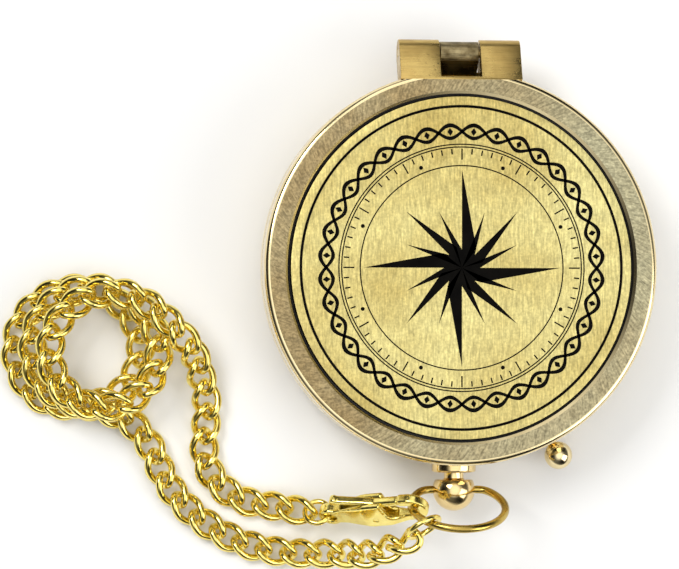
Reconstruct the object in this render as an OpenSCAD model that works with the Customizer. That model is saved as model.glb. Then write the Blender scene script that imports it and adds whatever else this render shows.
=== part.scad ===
// Pocket compass with a hinged lid, a needle lock and a curb chain, lying on its back with the lid closed
// Millimetres, +Z up and +Y towards the hinge, with the origin in the middle of the face that it rests on

/* [Case] */
// Outer diameter of the case and the lid
case_d = 50; // [49:0.5:56]
// Radius of the rounded lower edge of the case
case_round = 6.4; // [5:0.2:7]
// Thickness of the case's floor
floor_t = 1.6; // [1.2:0.1:2.4]
// Radius of the corner between the floor and the inner wall
floor_round = 3; // [1.5:0.5:3.5]
// Height of the room under the dial, which holds the needle lock
works_h = 2.9; // [2.9:0.1:3.6]
// Height of the case's shoulder above the ring that holds the crystal
shoulder_h = 0.4; // [0.2:0.1:1]
// Height of the lip that guides the lid
lip_h = 0.4; // [0.2:0.05:0.6]
// Thickness of that lip
lip_t = 0.45; // [0.3:0.05:0.6]
// Clearance between the lip and the lid's skirt
lid_fit = 0.25; // [0.15:0.05:0.35]

/* [Dial and crystal] */
// Thickness of the dial
dial_t = 0.3; // [0.2:0.05:0.5]
// Width of the ledge that the dial lies on
dial_seat_w = 1.2; // [0.8:0.1:2]
// Diameter of the hole in the middle of the dial
dial_hole_d = 3.2; // [3:0.1:4]
// Height from the dial up to the crystal
needle_room_h = 1.8; // [1.7:0.1:3]
// Width of the ring that keeps the dial down
spacer_w = 0.9; // [0.5:0.1:1.5]
// Thickness of the crystal
crystal_t = 1; // [0.6:0.1:1.5]
// Width of the ledge that the crystal lies on
crystal_seat_w = 1.7; // [1:0.1:2]
// Width of the split ring over the crystal
crystal_ring_w = 1; // [0.6:0.1:1.5]
// Thickness of that ring
crystal_ring_t = 0.6; // [0.4:0.1:0.9]
// Opening of that ring where it is split
crystal_ring_gap = 2; // [1:0.5:5]

/* [Needle] */
// Distance of the needle's tips from the ring round them
needle_in = 3.6; // [2:0.1:6]
// Width of the needle at its middle
needle_w = 3.2; // [2:0.1:4]
// Thickness of the needle
needle_t = 0.25; // [0.15:0.05:0.4]
// Diameter of the cap in the middle of the needle
cap_d = 3; // [2.6:0.1:3.6]
// Height of that cap
cap_h = 0.75; // [0.65:0.05:0.9]
// Height of the cap above the dial
cap_lift = 0.65; // [0.6:0.05:0.7]
// Diameter of the hollow under the cap
cap_socket_d = 1.5; // [1.3:0.1:1.8]
// Diameter of the jewel in the cap
jewel_d = 1; // [0.8:0.1:1.2]
// Thickness of the jewel
jewel_t = 0.2; // [0.1:0.05:0.25]
// Diameter of the post that the needle turns on
post_d = 1.2; // [0.8:0.1:1.2]
// Length of the point of that post
post_point_l = 1.1; // [0.8:0.1:1.5]
// Diameter of the foot of that post
post_foot_d = 4.4; // [3:0.2:5]
// Thickness of that foot
post_foot_t = 0.25; // [0.2:0.05:0.3]

/* [Needle lock] */
// Direction of the lock from the middle, in degrees
lock_turn = -60; // [-70:1:-50]
// Distance of the brake lever's axle from the wall round the works
lever_axle_in = 7.4; // [6.2:0.1:8]
// Height of the lever's axle above the floor
lever_axle_h = 1.05; // [1:0.05:1.2]
// Thickness of the lever
lever_t = 0.5; // [0.4:0.05:0.6]
// Width of the lever
lever_w = 2.4; // [1.8:0.1:2.8]
// Diameter of the lever's barrel
lever_barrel_d = 1.2; // [1.1:0.05:1.3]
// Diameter of the lever's axle
lever_pin_d = 0.6; // [0.4:0.05:0.7]
// Width of the ring at the lever's inner end
brake_ring_w = 0.95; // [0.6:0.05:1.1]
// Wall of the tube that lifts the needle
brake_tube_wall = 0.5; // [0.3:0.05:0.55]
// Clearance between that tube and the post
brake_tube_gap = 0.15; // [0.12:0.01:0.2]
// Length of the tab that the stem presses down
lever_tab_l = 0.8; // [0.5:0.1:0.9]
// Distance that the tab reaches past the stem's tip while the needle is locked
lever_tab_past = 1; // [0.8:0.1:1.1]
// Thickness of the bracket that carries the lever
bracket_t = 0.6; // [0.4:0.1:0.8]
// Thickness of the bracket's foot
bracket_foot_t = 0.25; // [0.2:0.05:0.3]
// Length of the bracket
bracket_l = 1.8; // [1.4:0.1:2.4]
// Thickness of the leaf spring under the lever
leaf_t = 0.15; // [0.1:0.05:0.2]
// Width of the leaf spring
leaf_w = 1.6; // [1:0.1:2]
// Length of the part of the leaf spring that lies on the floor
leaf_foot_l = 1.8; // [1.5:0.1:2]
// Diameter of the head of the spring's rivet
rivet_d = 1.1; // [0.8:0.1:1.3]
// Height of that head
rivet_h = 0.3; // [0.2:0.05:0.35]
// Height of the knob's axis above the floor
knob_axis_h = 2.3; // [2.2:0.1:2.6]
// Diameter of the knob's ball
knob_d = 3.6; // [3:0.1:4]
// Diameter of the knob's stem
stem_d = 1; // [0.8:0.1:1.1]
// Diameter of the stem's tip
stem_tip_d = 0.6; // [0.4:0.1:0.7]
// Length of the cone at the stem's inner end
stem_cone_l = 1.2; // [1.1:0.1:1.6]
// Distance that the stem reaches into the case while the needle is locked
stem_reach_in = 3; // [2.7:0.1:3.4]
// Distance that the knob pulls out
lock_travel = 1.2; // [0.8:0.1:1.4]
// Depth of the bush's seat inside the radius of the case's lip
bush_seat_in = 0.6; // [0.4:0.05:0.7]
// Outer diameter of the stem's bush
bush_d = 4; // [3.4:0.1:4.4]
// Diameter of the narrower step on that bush
bush_step_d = 3.4; // [2.6:0.1:3.4]
// Length of the bush's wide step
bush_wide_l = 1.75; // [1:0.05:2]
// Length of the bush's narrow step
bush_narrow_l = 0.9; // [0.5:0.05:1.2]
// Diameter of the bush's neck in the wall
bush_neck_d = 2.2; // [1.8:0.1:2.4]
// Length of that neck
bush_neck_l = 1.2; // [0.8:0.1:1.2]

/* [Lid] */
// Height of the lid
lid_h = 4.5; // [4.2:0.1:6]
// Radius of the lid's upper outer edge
lid_round = 0.7; // [0.3:0.1:1]
// Thickness of the skirt around the case's lip
skirt_t = 1; // [0.8:0.1:1.2]
// Depth of that skirt
skirt_h = 2.6; // [1.5:0.1:2.8]
// Width of the lid's rim round the engraved plate
rim_w = 3.25; // [3:0.05:3.6]
// Thickness of that plate
plate_t = 0.7; // [0.4:0.1:0.9]
// Depth of the plate under the lid's rim
plate_sink = 0.3; // [0.1:0.05:0.4]
// Gap around the plate
plate_gap = 0.25; // [0.1:0.05:0.4]
// Width of the ledge that the plate lies on
plate_seat_w = 1; // [0.6:0.1:1.5]
// Width of the polished chamfer around the plate
bezel_w = 0.35; // [0.2:0.05:0.4]
// Distance of the engraved line's middle from the plate's edge
line_in = 1.35; // [1:0.05:4]
// Width of that circle's line
line_w = 0.25; // [0.1:0.05:0.4]
// Depth of that line
line_depth = 0.1; // [0.05:0.05:0.2]

/* [Hinge] */
// Distance of the flat for the hinge behind the middle, short of the outer edge
hinge_flat_in = 1.2; // [1.1:0.05:1.3]
// Distance of the hinge's axis behind that flat
hinge_axis_out = 3.6; // [3.5:0.1:4]
// Height of the hinge's axis above the case's shoulder
hinge_axis_up = 0.9; // [0.7:0.1:1.2]
// Width of the lid's leaf
hinge_w = 15.5; // [14:0.5:17]
// Diameter of the knuckles on the lid's leaf
knuckle_d = 3.4; // [3:0.1:3.6]
// Diameter of the middle knuckle on the case's leaf
mid_knuckle_d = 2.9; // [2.6:0.1:3]
// Width of the middle knuckle
mid_knuckle_w = 4.9; // [4:0.1:5.4]
// Side clearance of the middle knuckle
knuckle_gap = 0.15; // [0.1:0.05:0.3]
// Diameter of the hinge pin
hinge_pin_d = 1.1; // [0.8:0.1:1.4]
// Depth of the lid's leaf under the top of the lid
leaf_sink = 0.25; // [0.1:0.05:0.5]
// Height of the lower corner of the lid's leaf above the case's shoulder
leaf_low_up = 0.7; // [0.5:0.05:0.7]
// Thickness of the strip that joins the two halves of that leaf
leaf_strip_t = 0.4; // [0.3:0.05:0.6]
// Width of the case's leaf
case_leaf_w = 12.8; // [10:0.2:13]
// Height of the case's leaf
case_leaf_h = 4.3; // [3.4:0.1:4.6]
// Thickness of the case's leaf
case_leaf_t = 1.3; // [1:0.1:1.4]
// Depth of the case's leaf under the case's shoulder
case_leaf_drop = 0.5; // [0.4:0.1:0.8]

/* [Pendant and bow] */
// Height of the pendant's axis
pendant_h = 5.4; // [5:0.1:5.5]
// Diameter of the pendant's collar
collar_d = 5.66; // [4.8:0.02:6]
// Length of the collar
collar_l = 2.2; // [1.6:0.1:3]
// Diameter of the pendant's ball
ball_d = 5.44; // [5:0.02:5.8]
// Distance from the ball's middle to its flat face at the neck
ball_cut = 1.3; // [1:0.1:1.8]
// Diameter of the neck behind the ball
neck_d = 2.5; // [2:0.1:3]
// Length of the neck
neck_l = 0.95; // [0.6:0.05:1.5]
// Diameter of the screw at the end of the neck
screw_d = 2; // [1.6:0.1:2.4]
// Length of the screw inside the case's wall
screw_in_wall = 1.6; // [1:0.1:1.7]
// Diameter of the bow's wire
bow_wire_d = 1; // [0.8:0.05:1.1]
// Diameter of the wire where its ends bend into the ball
bow_end_d = 0.94; // [0.7:0.02:0.96]
// Radius of the bow's ring at the middle of its wire
bow_r = 6; // [5.8:0.1:6.5]
// Radius of the bends where the wire turns into the ball
bow_bend_r = 2; // [1.8:0.1:2.2]
// Half the distance between the middles of those bends
bow_bend_out = 3; // [2.9:0.05:3.2]
// Distance of each end of the wire from the middle of the ball
bow_end_gap = 1; // [0.6:0.1:1.4]
// Angle of the bow above the table, in degrees
bow_raise = 65; // [65:1:66]

/* [Clasp and rings] */
// Distance from the clasp's eye to the bow's wire inside its hook
clasp_l = 11.4; // [11.3:0.1:11.6]
// Width of the clasp
clasp_w = 4.3; // [4.1:0.1:4.6]
// Thickness of the clasp at its gate
clasp_t = 2.2; // [2:0.1:2.6]
// Thickness of the hook
hook_t = 1.1; // [0.9:0.05:1.2]
// Thickness of the eye
eye_t = 1.3; // [1:0.1:1.4]
// Length of the hook's opening
hook_room_l = 4.6; // [4.4:0.1:4.8]
// Thickness of the hook seen from the side of its opening
hook_w = 1; // [0.8:0.05:1]
// Distance from the bow's wire to the end of the hook's opening
hook_rest = 1.15; // [1.1:0.05:1.2]
// Diameter of the clasp's eye
eye_d = 1.8; // [1.7:0.1:1.9]
// Width of the metal around the eye
eye_w = 0.6; // [0.5:0.05:0.7]
// Metal left between the eye's rim and the slot for the gate
gate_slot_wall = 0.4; // [0.3:0.05:0.6]
// Thickness of the gate
gate_t = 0.9; // [0.7:0.05:1]
// Side clearance of the gate in its slot
gate_gap = 0.05; // [0.03:0.01:0.1]
// Diameter of the gate's pin
gate_pin_d = 0.7; // [0.5:0.05:0.8]
// Diameter of the boss around that pin
gate_boss_d = 1.4; // [1.3:0.05:1.5]
// Distance of that pin behind the hook's opening
gate_pin_back = 1.7; // [1.6:0.05:1.8]
// Distance of that pin from the clasp's middle line
gate_pin_low = 0.7; // [0.6:0.05:0.75]
// Distance of the gate's thumb piece from the eye's middle, along the clasp
thumb_back = 1.8; // [1.7:0.1:2.2]
// Height of the thumb piece's middle over the clasp's side
thumb_out = 0.9; // [0.85:0.05:1]
// Diameter of the thumb piece's round end
thumb_d = 1.05; // [1:0.05:1.2]
// Thickness of the gate's spring
gate_spring_t = 0.12; // [0.08:0.02:0.16]
// Radius of the ring between the clasp and the chain
clasp_ring_r = 1.6; // [1.5:0.05:1.7]
// Diameter of that ring's wire
clasp_ring_wire_d = 0.7; // [0.6:0.05:0.7]
// Radius of the ring between the bow and the chain
end_ring_r = 2.2; // [2.1:0.05:2.3]
// Diameter of that ring's wire
end_ring_wire_d = 0.72; // [0.6:0.02:0.74]

/* [Chain] */
// Half the length of a link, at the middle of its wire
link_half_l = 2.4; // [2.38:0.01:2.42]
// Half the width of a link, at the middle of its wire
link_half_w = 1.5; // [1.48:0.01:1.52]
// Diameter of a link's wire
link_wire_d = 0.95; // [0.8:0.01:0.96]
// Twist of each end of a link, in degrees
link_twist = 57; // [56:1:58]
// Distance from one link to the next
link_pitch = 3.2; // [3.19:0.01:3.21]

/* [Hidden] */
$fn = 96;
// Clearance of parts that turn or slide in each other
running_gap = 0.03;
// Clearance of parts that drop into a seat
seat_gap = 0.1;
// Clearance of parts that pass each other
pass_gap = 0.3;
// Length by which a cut runs past the surface that it opens
overrun = 1;
// Sides of a link's wire and rings of points along it
LINK_SIDES = 6;
LINK_RINGS = 14;
// Steps of the route's curve between two of its points
ROUTE_STEPS = 20;

brass = [0.80, 0.66, 0.34];
bright = [0.90, 0.80, 0.50];
chain_gold = [0.92, 0.78, 0.22];
steel = [0.62, 0.64, 0.66];
dial_white = [0.93, 0.91, 0.84];
needle_blue = [0.12, 0.20, 0.42];
jewel_red = [0.65, 0.10, 0.18];
clear_glass = [0.85, 0.92, 0.95, 0.35];

case_r = case_d / 2;
skirt_in_r = case_r - skirt_t;
lip_r = skirt_in_r - lid_fit;
crystal_bay_r = lip_r - lip_t;
dial_bay_r = crystal_bay_r - crystal_seat_w;
works_r = dial_bay_r - dial_seat_w;
dial_z = floor_t + works_h;
dial_top = dial_z + dial_t;
crystal_z = dial_top + needle_room_h;
crystal_top = crystal_z + crystal_t;
case_h = crystal_top + crystal_ring_t + shoulder_h;
lid_z = case_h + seat_gap;
lid_top = lid_z + lid_h;
plate_top = lid_top - plate_sink;
plate_z = plate_top - plate_t;
plate_r = case_r - rim_w;
line_r = plate_r - line_in;
plate_bay_r = plate_r + plate_gap;

hinge_flat = case_r - hinge_flat_in;
hinge_y = hinge_flat + hinge_axis_out;
hinge_z = case_h + hinge_axis_up;
case_leaf_top = case_h - case_leaf_drop;
case_leaf_low = case_leaf_top - case_leaf_h;
hinge_bore_r = hinge_pin_d / 2 + running_gap;
notch_w = mid_knuckle_w + 2 * knuckle_gap;

needle_half_w = needle_w / 2;
needle_half_l = dial_bay_r - seat_gap - spacer_w - needle_in;
// Hollow between the needle's underside and the locked brake tube
brake_gap = 0.05;
cap_z = dial_top + cap_lift;
needle_z = cap_z + brake_gap;
post_tip_z = cap_z + cap_h - jewel_t - seat_gap - running_gap;

lever_axle_reach = works_r - lever_axle_in;
lever_axle_z = floor_t + lever_axle_h;
lever_low = lever_axle_z - lever_t / 2;
lever_top = lever_axle_z + lever_t / 2;
lever_bore_r = lever_pin_d / 2 + running_gap;
knob_z = floor_t + knob_axis_h;
stem_tip_reach = works_r - stem_reach_in;
tab_end = stem_tip_reach + lever_tab_past;
tab_stem_r = (stem_tip_d + (stem_d - stem_tip_d) * (tab_end - stem_tip_reach) / stem_cone_l) / 2;
tab_top = knob_z - tab_stem_r - seat_gap;
bracket_ear_x = lever_w / 2 + seat_gap;
lever_pin_l = 2 * (bracket_ear_x + bracket_t);
spot_reach = lip_r - bush_seat_in;
knob_ball_reach = spot_reach + bush_wide_l + bush_narrow_l + seat_gap + knob_d / 2;

pendant_flat = lip_r + seat_gap;
ball_y = -(pendant_flat + collar_l + neck_l + ball_cut);
bow_wire_r = bow_wire_d / 2;
bow_end_r = bow_end_d / 2;
bow_hole_r = bow_end_r + running_gap;
bow_rise = bow_bend_r + sqrt(pow(bow_r - bow_bend_r, 2) - pow(bow_bend_out, 2));
bow_turn = atan2(bow_rise - bow_bend_r, bow_bend_out);

// The point of the bow's ring at an angle from its right side, and the direction of its wire there
function bow_point(turn) = let (rise = bow_rise + bow_r * sin(turn))
    [bow_r * cos(turn), ball_y - rise * cos(bow_raise), pendant_h + rise * sin(bow_raise)];
function bow_along(turn) = [-sin(turn), -cos(turn) * cos(bow_raise), cos(turn) * sin(bow_raise)];
function unit(v) = v / norm(v);
// The part of one direction that is square to another
function square_to(v, along) = unit(v - (v * along) * along);

// Shape of the clasp's axes where its hook holds the bow
clasp_turn = 180;
clasp_aim = unit([0.84, 0.10, 0.53]);
clasp_roll = 25;
clasp_flat = square_to(-bow_along(clasp_turn), clasp_aim);
clasp_side = cross(clasp_flat, clasp_aim);
clasp_y = cos(clasp_roll) * clasp_side + sin(clasp_roll) * clasp_flat;
clasp_z = cos(clasp_roll) * clasp_flat - sin(clasp_roll) * clasp_side;
clasp_eye = bow_point(clasp_turn) - clasp_l * clasp_aim;
hook_r = clasp_w / 2 - hook_w;
hook_end = clasp_l + hook_rest;
hook_start = hook_end - hook_room_l;
gate_tip = clasp_l - hook_rest;
gate_slot_start = eye_d / 2 + eye_w + gate_slot_wall;
gate_pin_x = hook_start - gate_pin_back;
gate_pin_y = -gate_pin_low;
gate_slot_low = gate_pin_y - gate_boss_d / 2 - seat_gap;

// Middle and direction of the ring that ties the chain to the bow
end_ring_turn = 135;
end_ring_aim = unit([-0.60, -0.60, -0.53]);
end_ring_axis = square_to(bow_along(end_ring_turn), end_ring_aim);
end_ring_mid = bow_point(end_ring_turn)
    + (end_ring_r - end_ring_wire_d / 2 - bow_wire_r - pass_gap) * end_ring_aim;

// The chain's way from the bow down to its heap on the table, and from there back to the clasp:
// x and y from the pendant's ball, height above the table, and roll
WAY_IN = [
    [-7.0, -6.4, 11.1, 60], [-10.8, -8.0, 7.6, 20], [-14.8, -8.2, 3.8, 5], [-19.4, -8.3, 1.8, 0],
    [-24.4, -7.7, 1.3, 0], [-29.0, -6.0, 1.3, 0], [-33.4, -3.0, 1.3, 0], [-36.7, 1.0, 1.3, 0],
    [-38.8, 5.6, 1.3, 0], [-41.9, 9.0, 1.3, 0]
];
WAY_OUT = [
    [-36.3, 21.0, 6.9, 0], [-33.8, 18.2, 5.6, 0], [-32.4, 14.7, 3.2, 0], [-31.5, 10.8, 1.9, 0],
    [-31.7, 7.1, 1.3, 0], [-31.6, 3.4, 1.4, 0], [-29.4, 0.1, 1.3, 0], [-25.8, -1.8, 1.3, 0],
    [-22.2, -2.3, 1.8, 0], [-18.0, -3.1, 2.7, 10]
];
// The heap's turns: how their middle wanders, from the pendant's ball, and their radius
HEAP_MIDS = [[-49.2, 18.0], [-46.3, 18.9], [-43.4, 17.6]];
HEAP_R = 7.46;
// Height of the lowest turn, and what each turn climbs over the one below
HEAP_LOW = 1.3;
HEAP_CLIMB = 2.65;
// Angles of the heap's first and last points and of its steps, and where in a turn it starts to climb
HEAP_FIRST = -15;
HEAP_LAST = 945;
HEAP_STEP = 30;
CLIMB_FROM = 210;
function heap_mid(u) = (1 - u) * (1 - u) * HEAP_MIDS[0] + 2 * u * (1 - u) * HEAP_MIDS[1] + u * u * HEAP_MIDS[2];
function heap_point(angle) = let (
        mid = heap_mid((angle - HEAP_FIRST) / (HEAP_LAST - HEAP_FIRST)),
        turn = floor(max(0, angle) / 360),
        climb = max(0, (angle - 360 * turn - CLIMB_FROM) / (360 - CLIMB_FROM)))
    [mid[0] - HEAP_R * sin(angle), mid[1] - HEAP_R * cos(angle),
        HEAP_LOW + HEAP_CLIMB * (turn + climb * climb * (3 - 2 * climb)), 0];
ROUTE = concat(WAY_IN, [for (angle = [HEAP_FIRST : HEAP_STEP : HEAP_LAST]) heap_point(angle)], WAY_OUT);
ROUTE_LAST = len(ROUTE) - 1;
// First link of each stretch of the chain, and one past its last
LEAD_B = [0, 6];
RUN_B = [6, 16];
PILE = [16, 56];
RUN_A = [56, 64];

// Points of a smooth curve through the route, and their distances along it
function from_ball(point) = point + [0, ball_y, 0, 0];
function route_at(i) = i < 0 ? 2 * route_at(0) - route_at(1)
    : i > ROUTE_LAST ? 2 * route_at(ROUTE_LAST) - route_at(ROUTE_LAST - 1) : from_ball(ROUTE[i]);
function curve_at(i, u) = let (a = route_at(i - 1), b = route_at(i), c = route_at(i + 1), d = route_at(i + 2))
    (2 * b + u * (c - a) + u * u * (2 * a - 5 * b + 4 * c - d) + u * u * u * (3 * b - a - 3 * c + d)) / 2;
function place(p) = [p[0], p[1], p[2]];
curve = [for (i = [0 : ROUTE_LAST - 1], k = [0 : ROUTE_STEPS - 1]) curve_at(i, k / ROUTE_STEPS),
    route_at(ROUTE_LAST)];
reach = [for (i = 0, s = 0; i < len(curve);
    s = s + (i + 1 < len(curve) ? norm(place(curve[i + 1]) - place(curve[i])) : 0), i = i + 1) s];
way = [for (axis = [0 : 3]) [for (i = [0 : len(curve) - 1]) [reach[i], curve[i][axis]]]];
chain_l = reach[len(reach) - 1];
link_count = floor(chain_l / link_pitch) + 1;
LEAD_A = [64, link_count];
function along_chain(s) = let (t = max(0, min(s, chain_l))) [for (axis = [0 : 3]) lookup(t, way[axis])];

// The middle line of a link's wire, wound around an oval whose two ends are twisted apart
function link_line(t) = let (twist = link_twist * cos(t))
    [link_half_l * cos(t), link_half_w * sin(t) * cos(twist), link_half_w * sin(t) * sin(twist)];
link_points = [for (i = [0 : LINK_RINGS - 1])
    let (t = 360 * i / LINK_RINGS, p = link_line(t), along = unit(link_line(t + 1) - link_line(t - 1)),
        out = square_to(p, along), up = cross(along, out))
    for (k = [0 : LINK_SIDES - 1]) let (turn = 360 * k / LINK_SIDES)
        p + link_wire_d / 2 * (cos(turn) * out + sin(turn) * up)];
function link_corner(i, k) = (i % LINK_RINGS) * LINK_SIDES + k % LINK_SIDES;
link_faces = [for (i = [0 : LINK_RINGS - 1], k = [0 : LINK_SIDES - 1], half = [0, 1])
    half == 0 ? [link_corner(i, k), link_corner(i + 1, k), link_corner(i + 1, k + 1)]
        : [link_corner(i, k), link_corner(i + 1, k + 1), link_corner(i, k + 1)]];

// Half section of a disc with a rounded lower edge
module dish_section(r, h, edge_r) {
    intersection() {
        union() {
            square([r - edge_r, h]);
            translate([0, edge_r]) square([r, h - edge_r]);
            translate([r - edge_r, edge_r]) circle(r = edge_r);
        }
        square([r, h]);
    }
}

// Flat ring lying at height z
module flat_ring(outer_r, inner_r, h, z) {
    translate([0, 0, z]) difference() {
        cylinder(r = outer_r, h = h);
        translate([0, 0, -overrun]) cylinder(r = inner_r, h = h + 2 * overrun);
    }
}

// Places its children with +Z pointing away from the middle, at a height and in a direction
module facing_out(turn, z) {
    translate([0, 0, z]) rotate([0, 0, turn]) rotate([0, 90, 0]) children();
}

// Rod along X, centred at y and z
module rod_x(r, l, y, z) {
    translate([-l / 2, y, z]) rotate([0, 90, 0]) cylinder(r = r, h = l);
}

// Extrudes a y-z profile along X, centred
module bar_x(w) {
    translate([-w / 2, 0, 0]) rotate([90, 0, 90]) linear_extrude(w) children();
}

// Places its children with their axes along three given directions
module on_axes(origin, x, y, z) {
    multmatrix([[x[0], y[0], z[0], origin[0]], [x[1], y[1], z[1], origin[1]], [x[2], y[2], z[2], origin[2]]])
        children();
}

module wire_ring(r, wire_r) {
    rotate_extrude() translate([r, 0]) circle(r = wire_r);
}

module case_bowl() {
    color(brass) difference() {
        union() {
            rotate_extrude() dish_section(case_r, case_h, case_round);
            cylinder(r = lip_r, h = case_h + lip_h);
        }
        translate([0, 0, floor_t]) rotate_extrude() dish_section(works_r, works_h + overrun, floor_round);
        translate([0, 0, dial_z]) cylinder(r = dial_bay_r, h = case_h);
        translate([0, 0, crystal_z]) cylinder(r = crystal_bay_r, h = case_h);
        translate([-case_leaf_w / 2 - seat_gap, hinge_flat, case_leaf_low - seat_gap])
            cube([case_leaf_w + 2 * seat_gap, case_r, case_h]);
        facing_out(-90, pendant_h) {
            translate([0, 0, pendant_flat]) cylinder(r = collar_d / 2 + seat_gap, h = case_r);
            translate([0, 0, pendant_flat - screw_in_wall - seat_gap])
                cylinder(r = screw_d / 2 + running_gap, h = case_r);
        }
        facing_out(lock_turn, knob_z) {
            translate([0, 0, spot_reach]) cylinder(r = bush_d / 2 + seat_gap, h = case_r);
            translate([0, 0, spot_reach - bush_neck_l - seat_gap])
                cylinder(r = bush_neck_d / 2 + running_gap, h = case_r);
            translate([0, 0, works_r - overrun]) cylinder(r = stem_d / 2 + seat_gap, h = case_r);
        }
    }
}

// Angle of the line that runs from a point at y, z onto a knuckle and touches it above or below
function tangent_turn(y, z, side) = let (dy = hinge_y - y, dz = hinge_z - z)
    atan2(dz, dy) + side * asin(knuckle_d / 2 / norm([dy, dz]));

module case_hinge_leaf() {
    web_r = mid_knuckle_d / 2;
    lean = web_r * sqrt(2);
    color(brass) difference() {
        union() {
            translate([-case_leaf_w / 2, hinge_flat, case_leaf_low])
                cube([case_leaf_w, case_leaf_t, case_leaf_h]);
            bar_x(mid_knuckle_w) {
                translate([hinge_y, hinge_z]) circle(r = web_r);
                polygon([
                    [hinge_flat, hinge_z - hinge_axis_out + lean],
                    [hinge_flat, hinge_z - hinge_axis_out + case_leaf_t / 2 - lean],
                    [hinge_flat + case_leaf_t / 2, hinge_z - hinge_axis_out + case_leaf_t / 2 - lean],
                    [hinge_y + web_r * cos(45), hinge_z - web_r * sin(45)],
                    [hinge_y - web_r * cos(45), hinge_z + web_r * sin(45)]
                ]);
            }
        }
        rod_x(hinge_bore_r, hinge_w, hinge_y, hinge_z);
    }
}

module hinge_pin() {
    color(bright) rod_x(hinge_pin_d / 2, hinge_w, hinge_y, hinge_z);
}

module lid_rim() {
    color(bright) difference() {
        translate([0, 0, lid_top]) mirror([0, 0, 1])
            rotate_extrude() dish_section(case_r, lid_h, lid_round);
        translate([0, 0, lid_z - overrun]) cylinder(r = skirt_in_r, h = skirt_h + overrun);
        translate([0, 0, lid_z]) cylinder(r = plate_bay_r - plate_seat_w, h = lid_h + overrun);
        translate([0, 0, plate_z]) cylinder(r = plate_bay_r, h = lid_h);
        translate([0, 0, lid_top - bezel_w])
            cylinder(r1 = plate_bay_r, r2 = plate_bay_r + 2 * bezel_w, h = 2 * bezel_w);
        translate([-hinge_w / 2 - seat_gap / 2, hinge_flat, lid_z - overrun])
            cube([hinge_w + seat_gap, case_r, lid_h + 2 * overrun]);
    }
}

module lid_plate() {
    color(bright) difference() {
        translate([0, 0, plate_z]) cylinder(r = plate_r, h = plate_t);
        flat_ring(line_r + line_w / 2, line_r - line_w / 2, line_depth + overrun, plate_top - line_depth);
    }
}

module lid_hinge_leaf() {
    leaf_top = lid_top - leaf_sink;
    leaf_low = case_h + leaf_low_up;
    above = tangent_turn(hinge_flat, leaf_top, 1);
    below = tangent_turn(hinge_flat, leaf_low, -1);
    knuckle_r = knuckle_d / 2;
    color(brass) difference() {
        bar_x(hinge_w) {
            translate([hinge_y, hinge_z]) circle(r = knuckle_r);
            polygon([
                [hinge_flat, leaf_top],
                [hinge_flat, leaf_low],
                [hinge_y + knuckle_r * sin(below), hinge_z - knuckle_r * cos(below)],
                [hinge_y, hinge_z],
                [hinge_y - knuckle_r * sin(above), hinge_z + knuckle_r * cos(above)]
            ]);
        }
        translate([-notch_w / 2, hinge_flat + leaf_strip_t, 0]) cube([notch_w, case_r, 2 * lid_top]);
        translate([-notch_w / 2, hinge_flat - overrun, 0]) cube([notch_w, case_r, lid_z + skirt_h]);
        rod_x(hinge_bore_r, hinge_w + overrun, hinge_y, hinge_z);
    }
}

module crystal() {
    color(clear_glass) translate([0, 0, crystal_z]) cylinder(r = crystal_bay_r - seat_gap, h = crystal_t);
}

module crystal_ring() {
    outer_r = crystal_bay_r - seat_gap / 2;
    color(brass) difference() {
        flat_ring(outer_r, outer_r - crystal_ring_w, crystal_ring_t, crystal_top);
        translate([0, -crystal_ring_gap / 2, crystal_top - overrun])
            cube([case_r, crystal_ring_gap, crystal_ring_t + 2 * overrun]);
    }
}

module dial() {
    color(dial_white) flat_ring(dial_bay_r - 2 * seat_gap, dial_hole_d / 2, dial_t, dial_z);
}

module spacer_ring() {
    outer_r = dial_bay_r - seat_gap;
    color(brass) flat_ring(outer_r, outer_r - spacer_w, needle_room_h, dial_top);
}

module pivot_post() {
    shaft_h = post_tip_z - post_point_l - floor_t;
    color(steel) translate([0, 0, floor_t]) {
        cylinder(r = post_foot_d / 2, h = post_foot_t);
        cylinder(r = post_d / 2, h = shaft_h);
        translate([0, 0, shaft_h]) cylinder(r1 = post_d / 2, r2 = 0, h = post_point_l);
    }
}

module needle() {
    color(needle_blue) difference() {
        translate([0, 0, needle_z]) linear_extrude(needle_t)
            polygon([[0, needle_half_l], [-needle_half_w, 0], [0, -needle_half_l], [needle_half_w, 0]]);
        translate([0, 0, needle_z - overrun]) cylinder(r = cap_d / 2 - pass_gap, h = needle_t + 2 * overrun);
    }
}

module needle_cap() {
    neck_r = cap_d / 2 - pass_gap - running_gap;
    color(brass) difference() {
        union() {
            translate([0, 0, cap_z]) cylinder(r = neck_r, h = cap_h);
            translate([0, 0, needle_z + needle_t]) cylinder(r = cap_d / 2, h = cap_h - needle_t - brake_gap);
        }
        translate([0, 0, cap_z - overrun])
            cylinder(r = cap_socket_d / 2, h = cap_h - jewel_t - seat_gap + overrun);
        translate([0, 0, cap_z]) cylinder(r = jewel_d / 2 + running_gap, h = cap_h - seat_gap);
    }
}

module cap_jewel() {
    color(jewel_red) translate([0, 0, cap_z + cap_h - jewel_t - seat_gap])
        cylinder(r = jewel_d / 2, h = jewel_t);
}

// Places its children in the lock's own direction: +X points outwards, and +Z up
module in_lock() {
    rotate([0, 0, lock_turn]) children();
}

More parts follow.
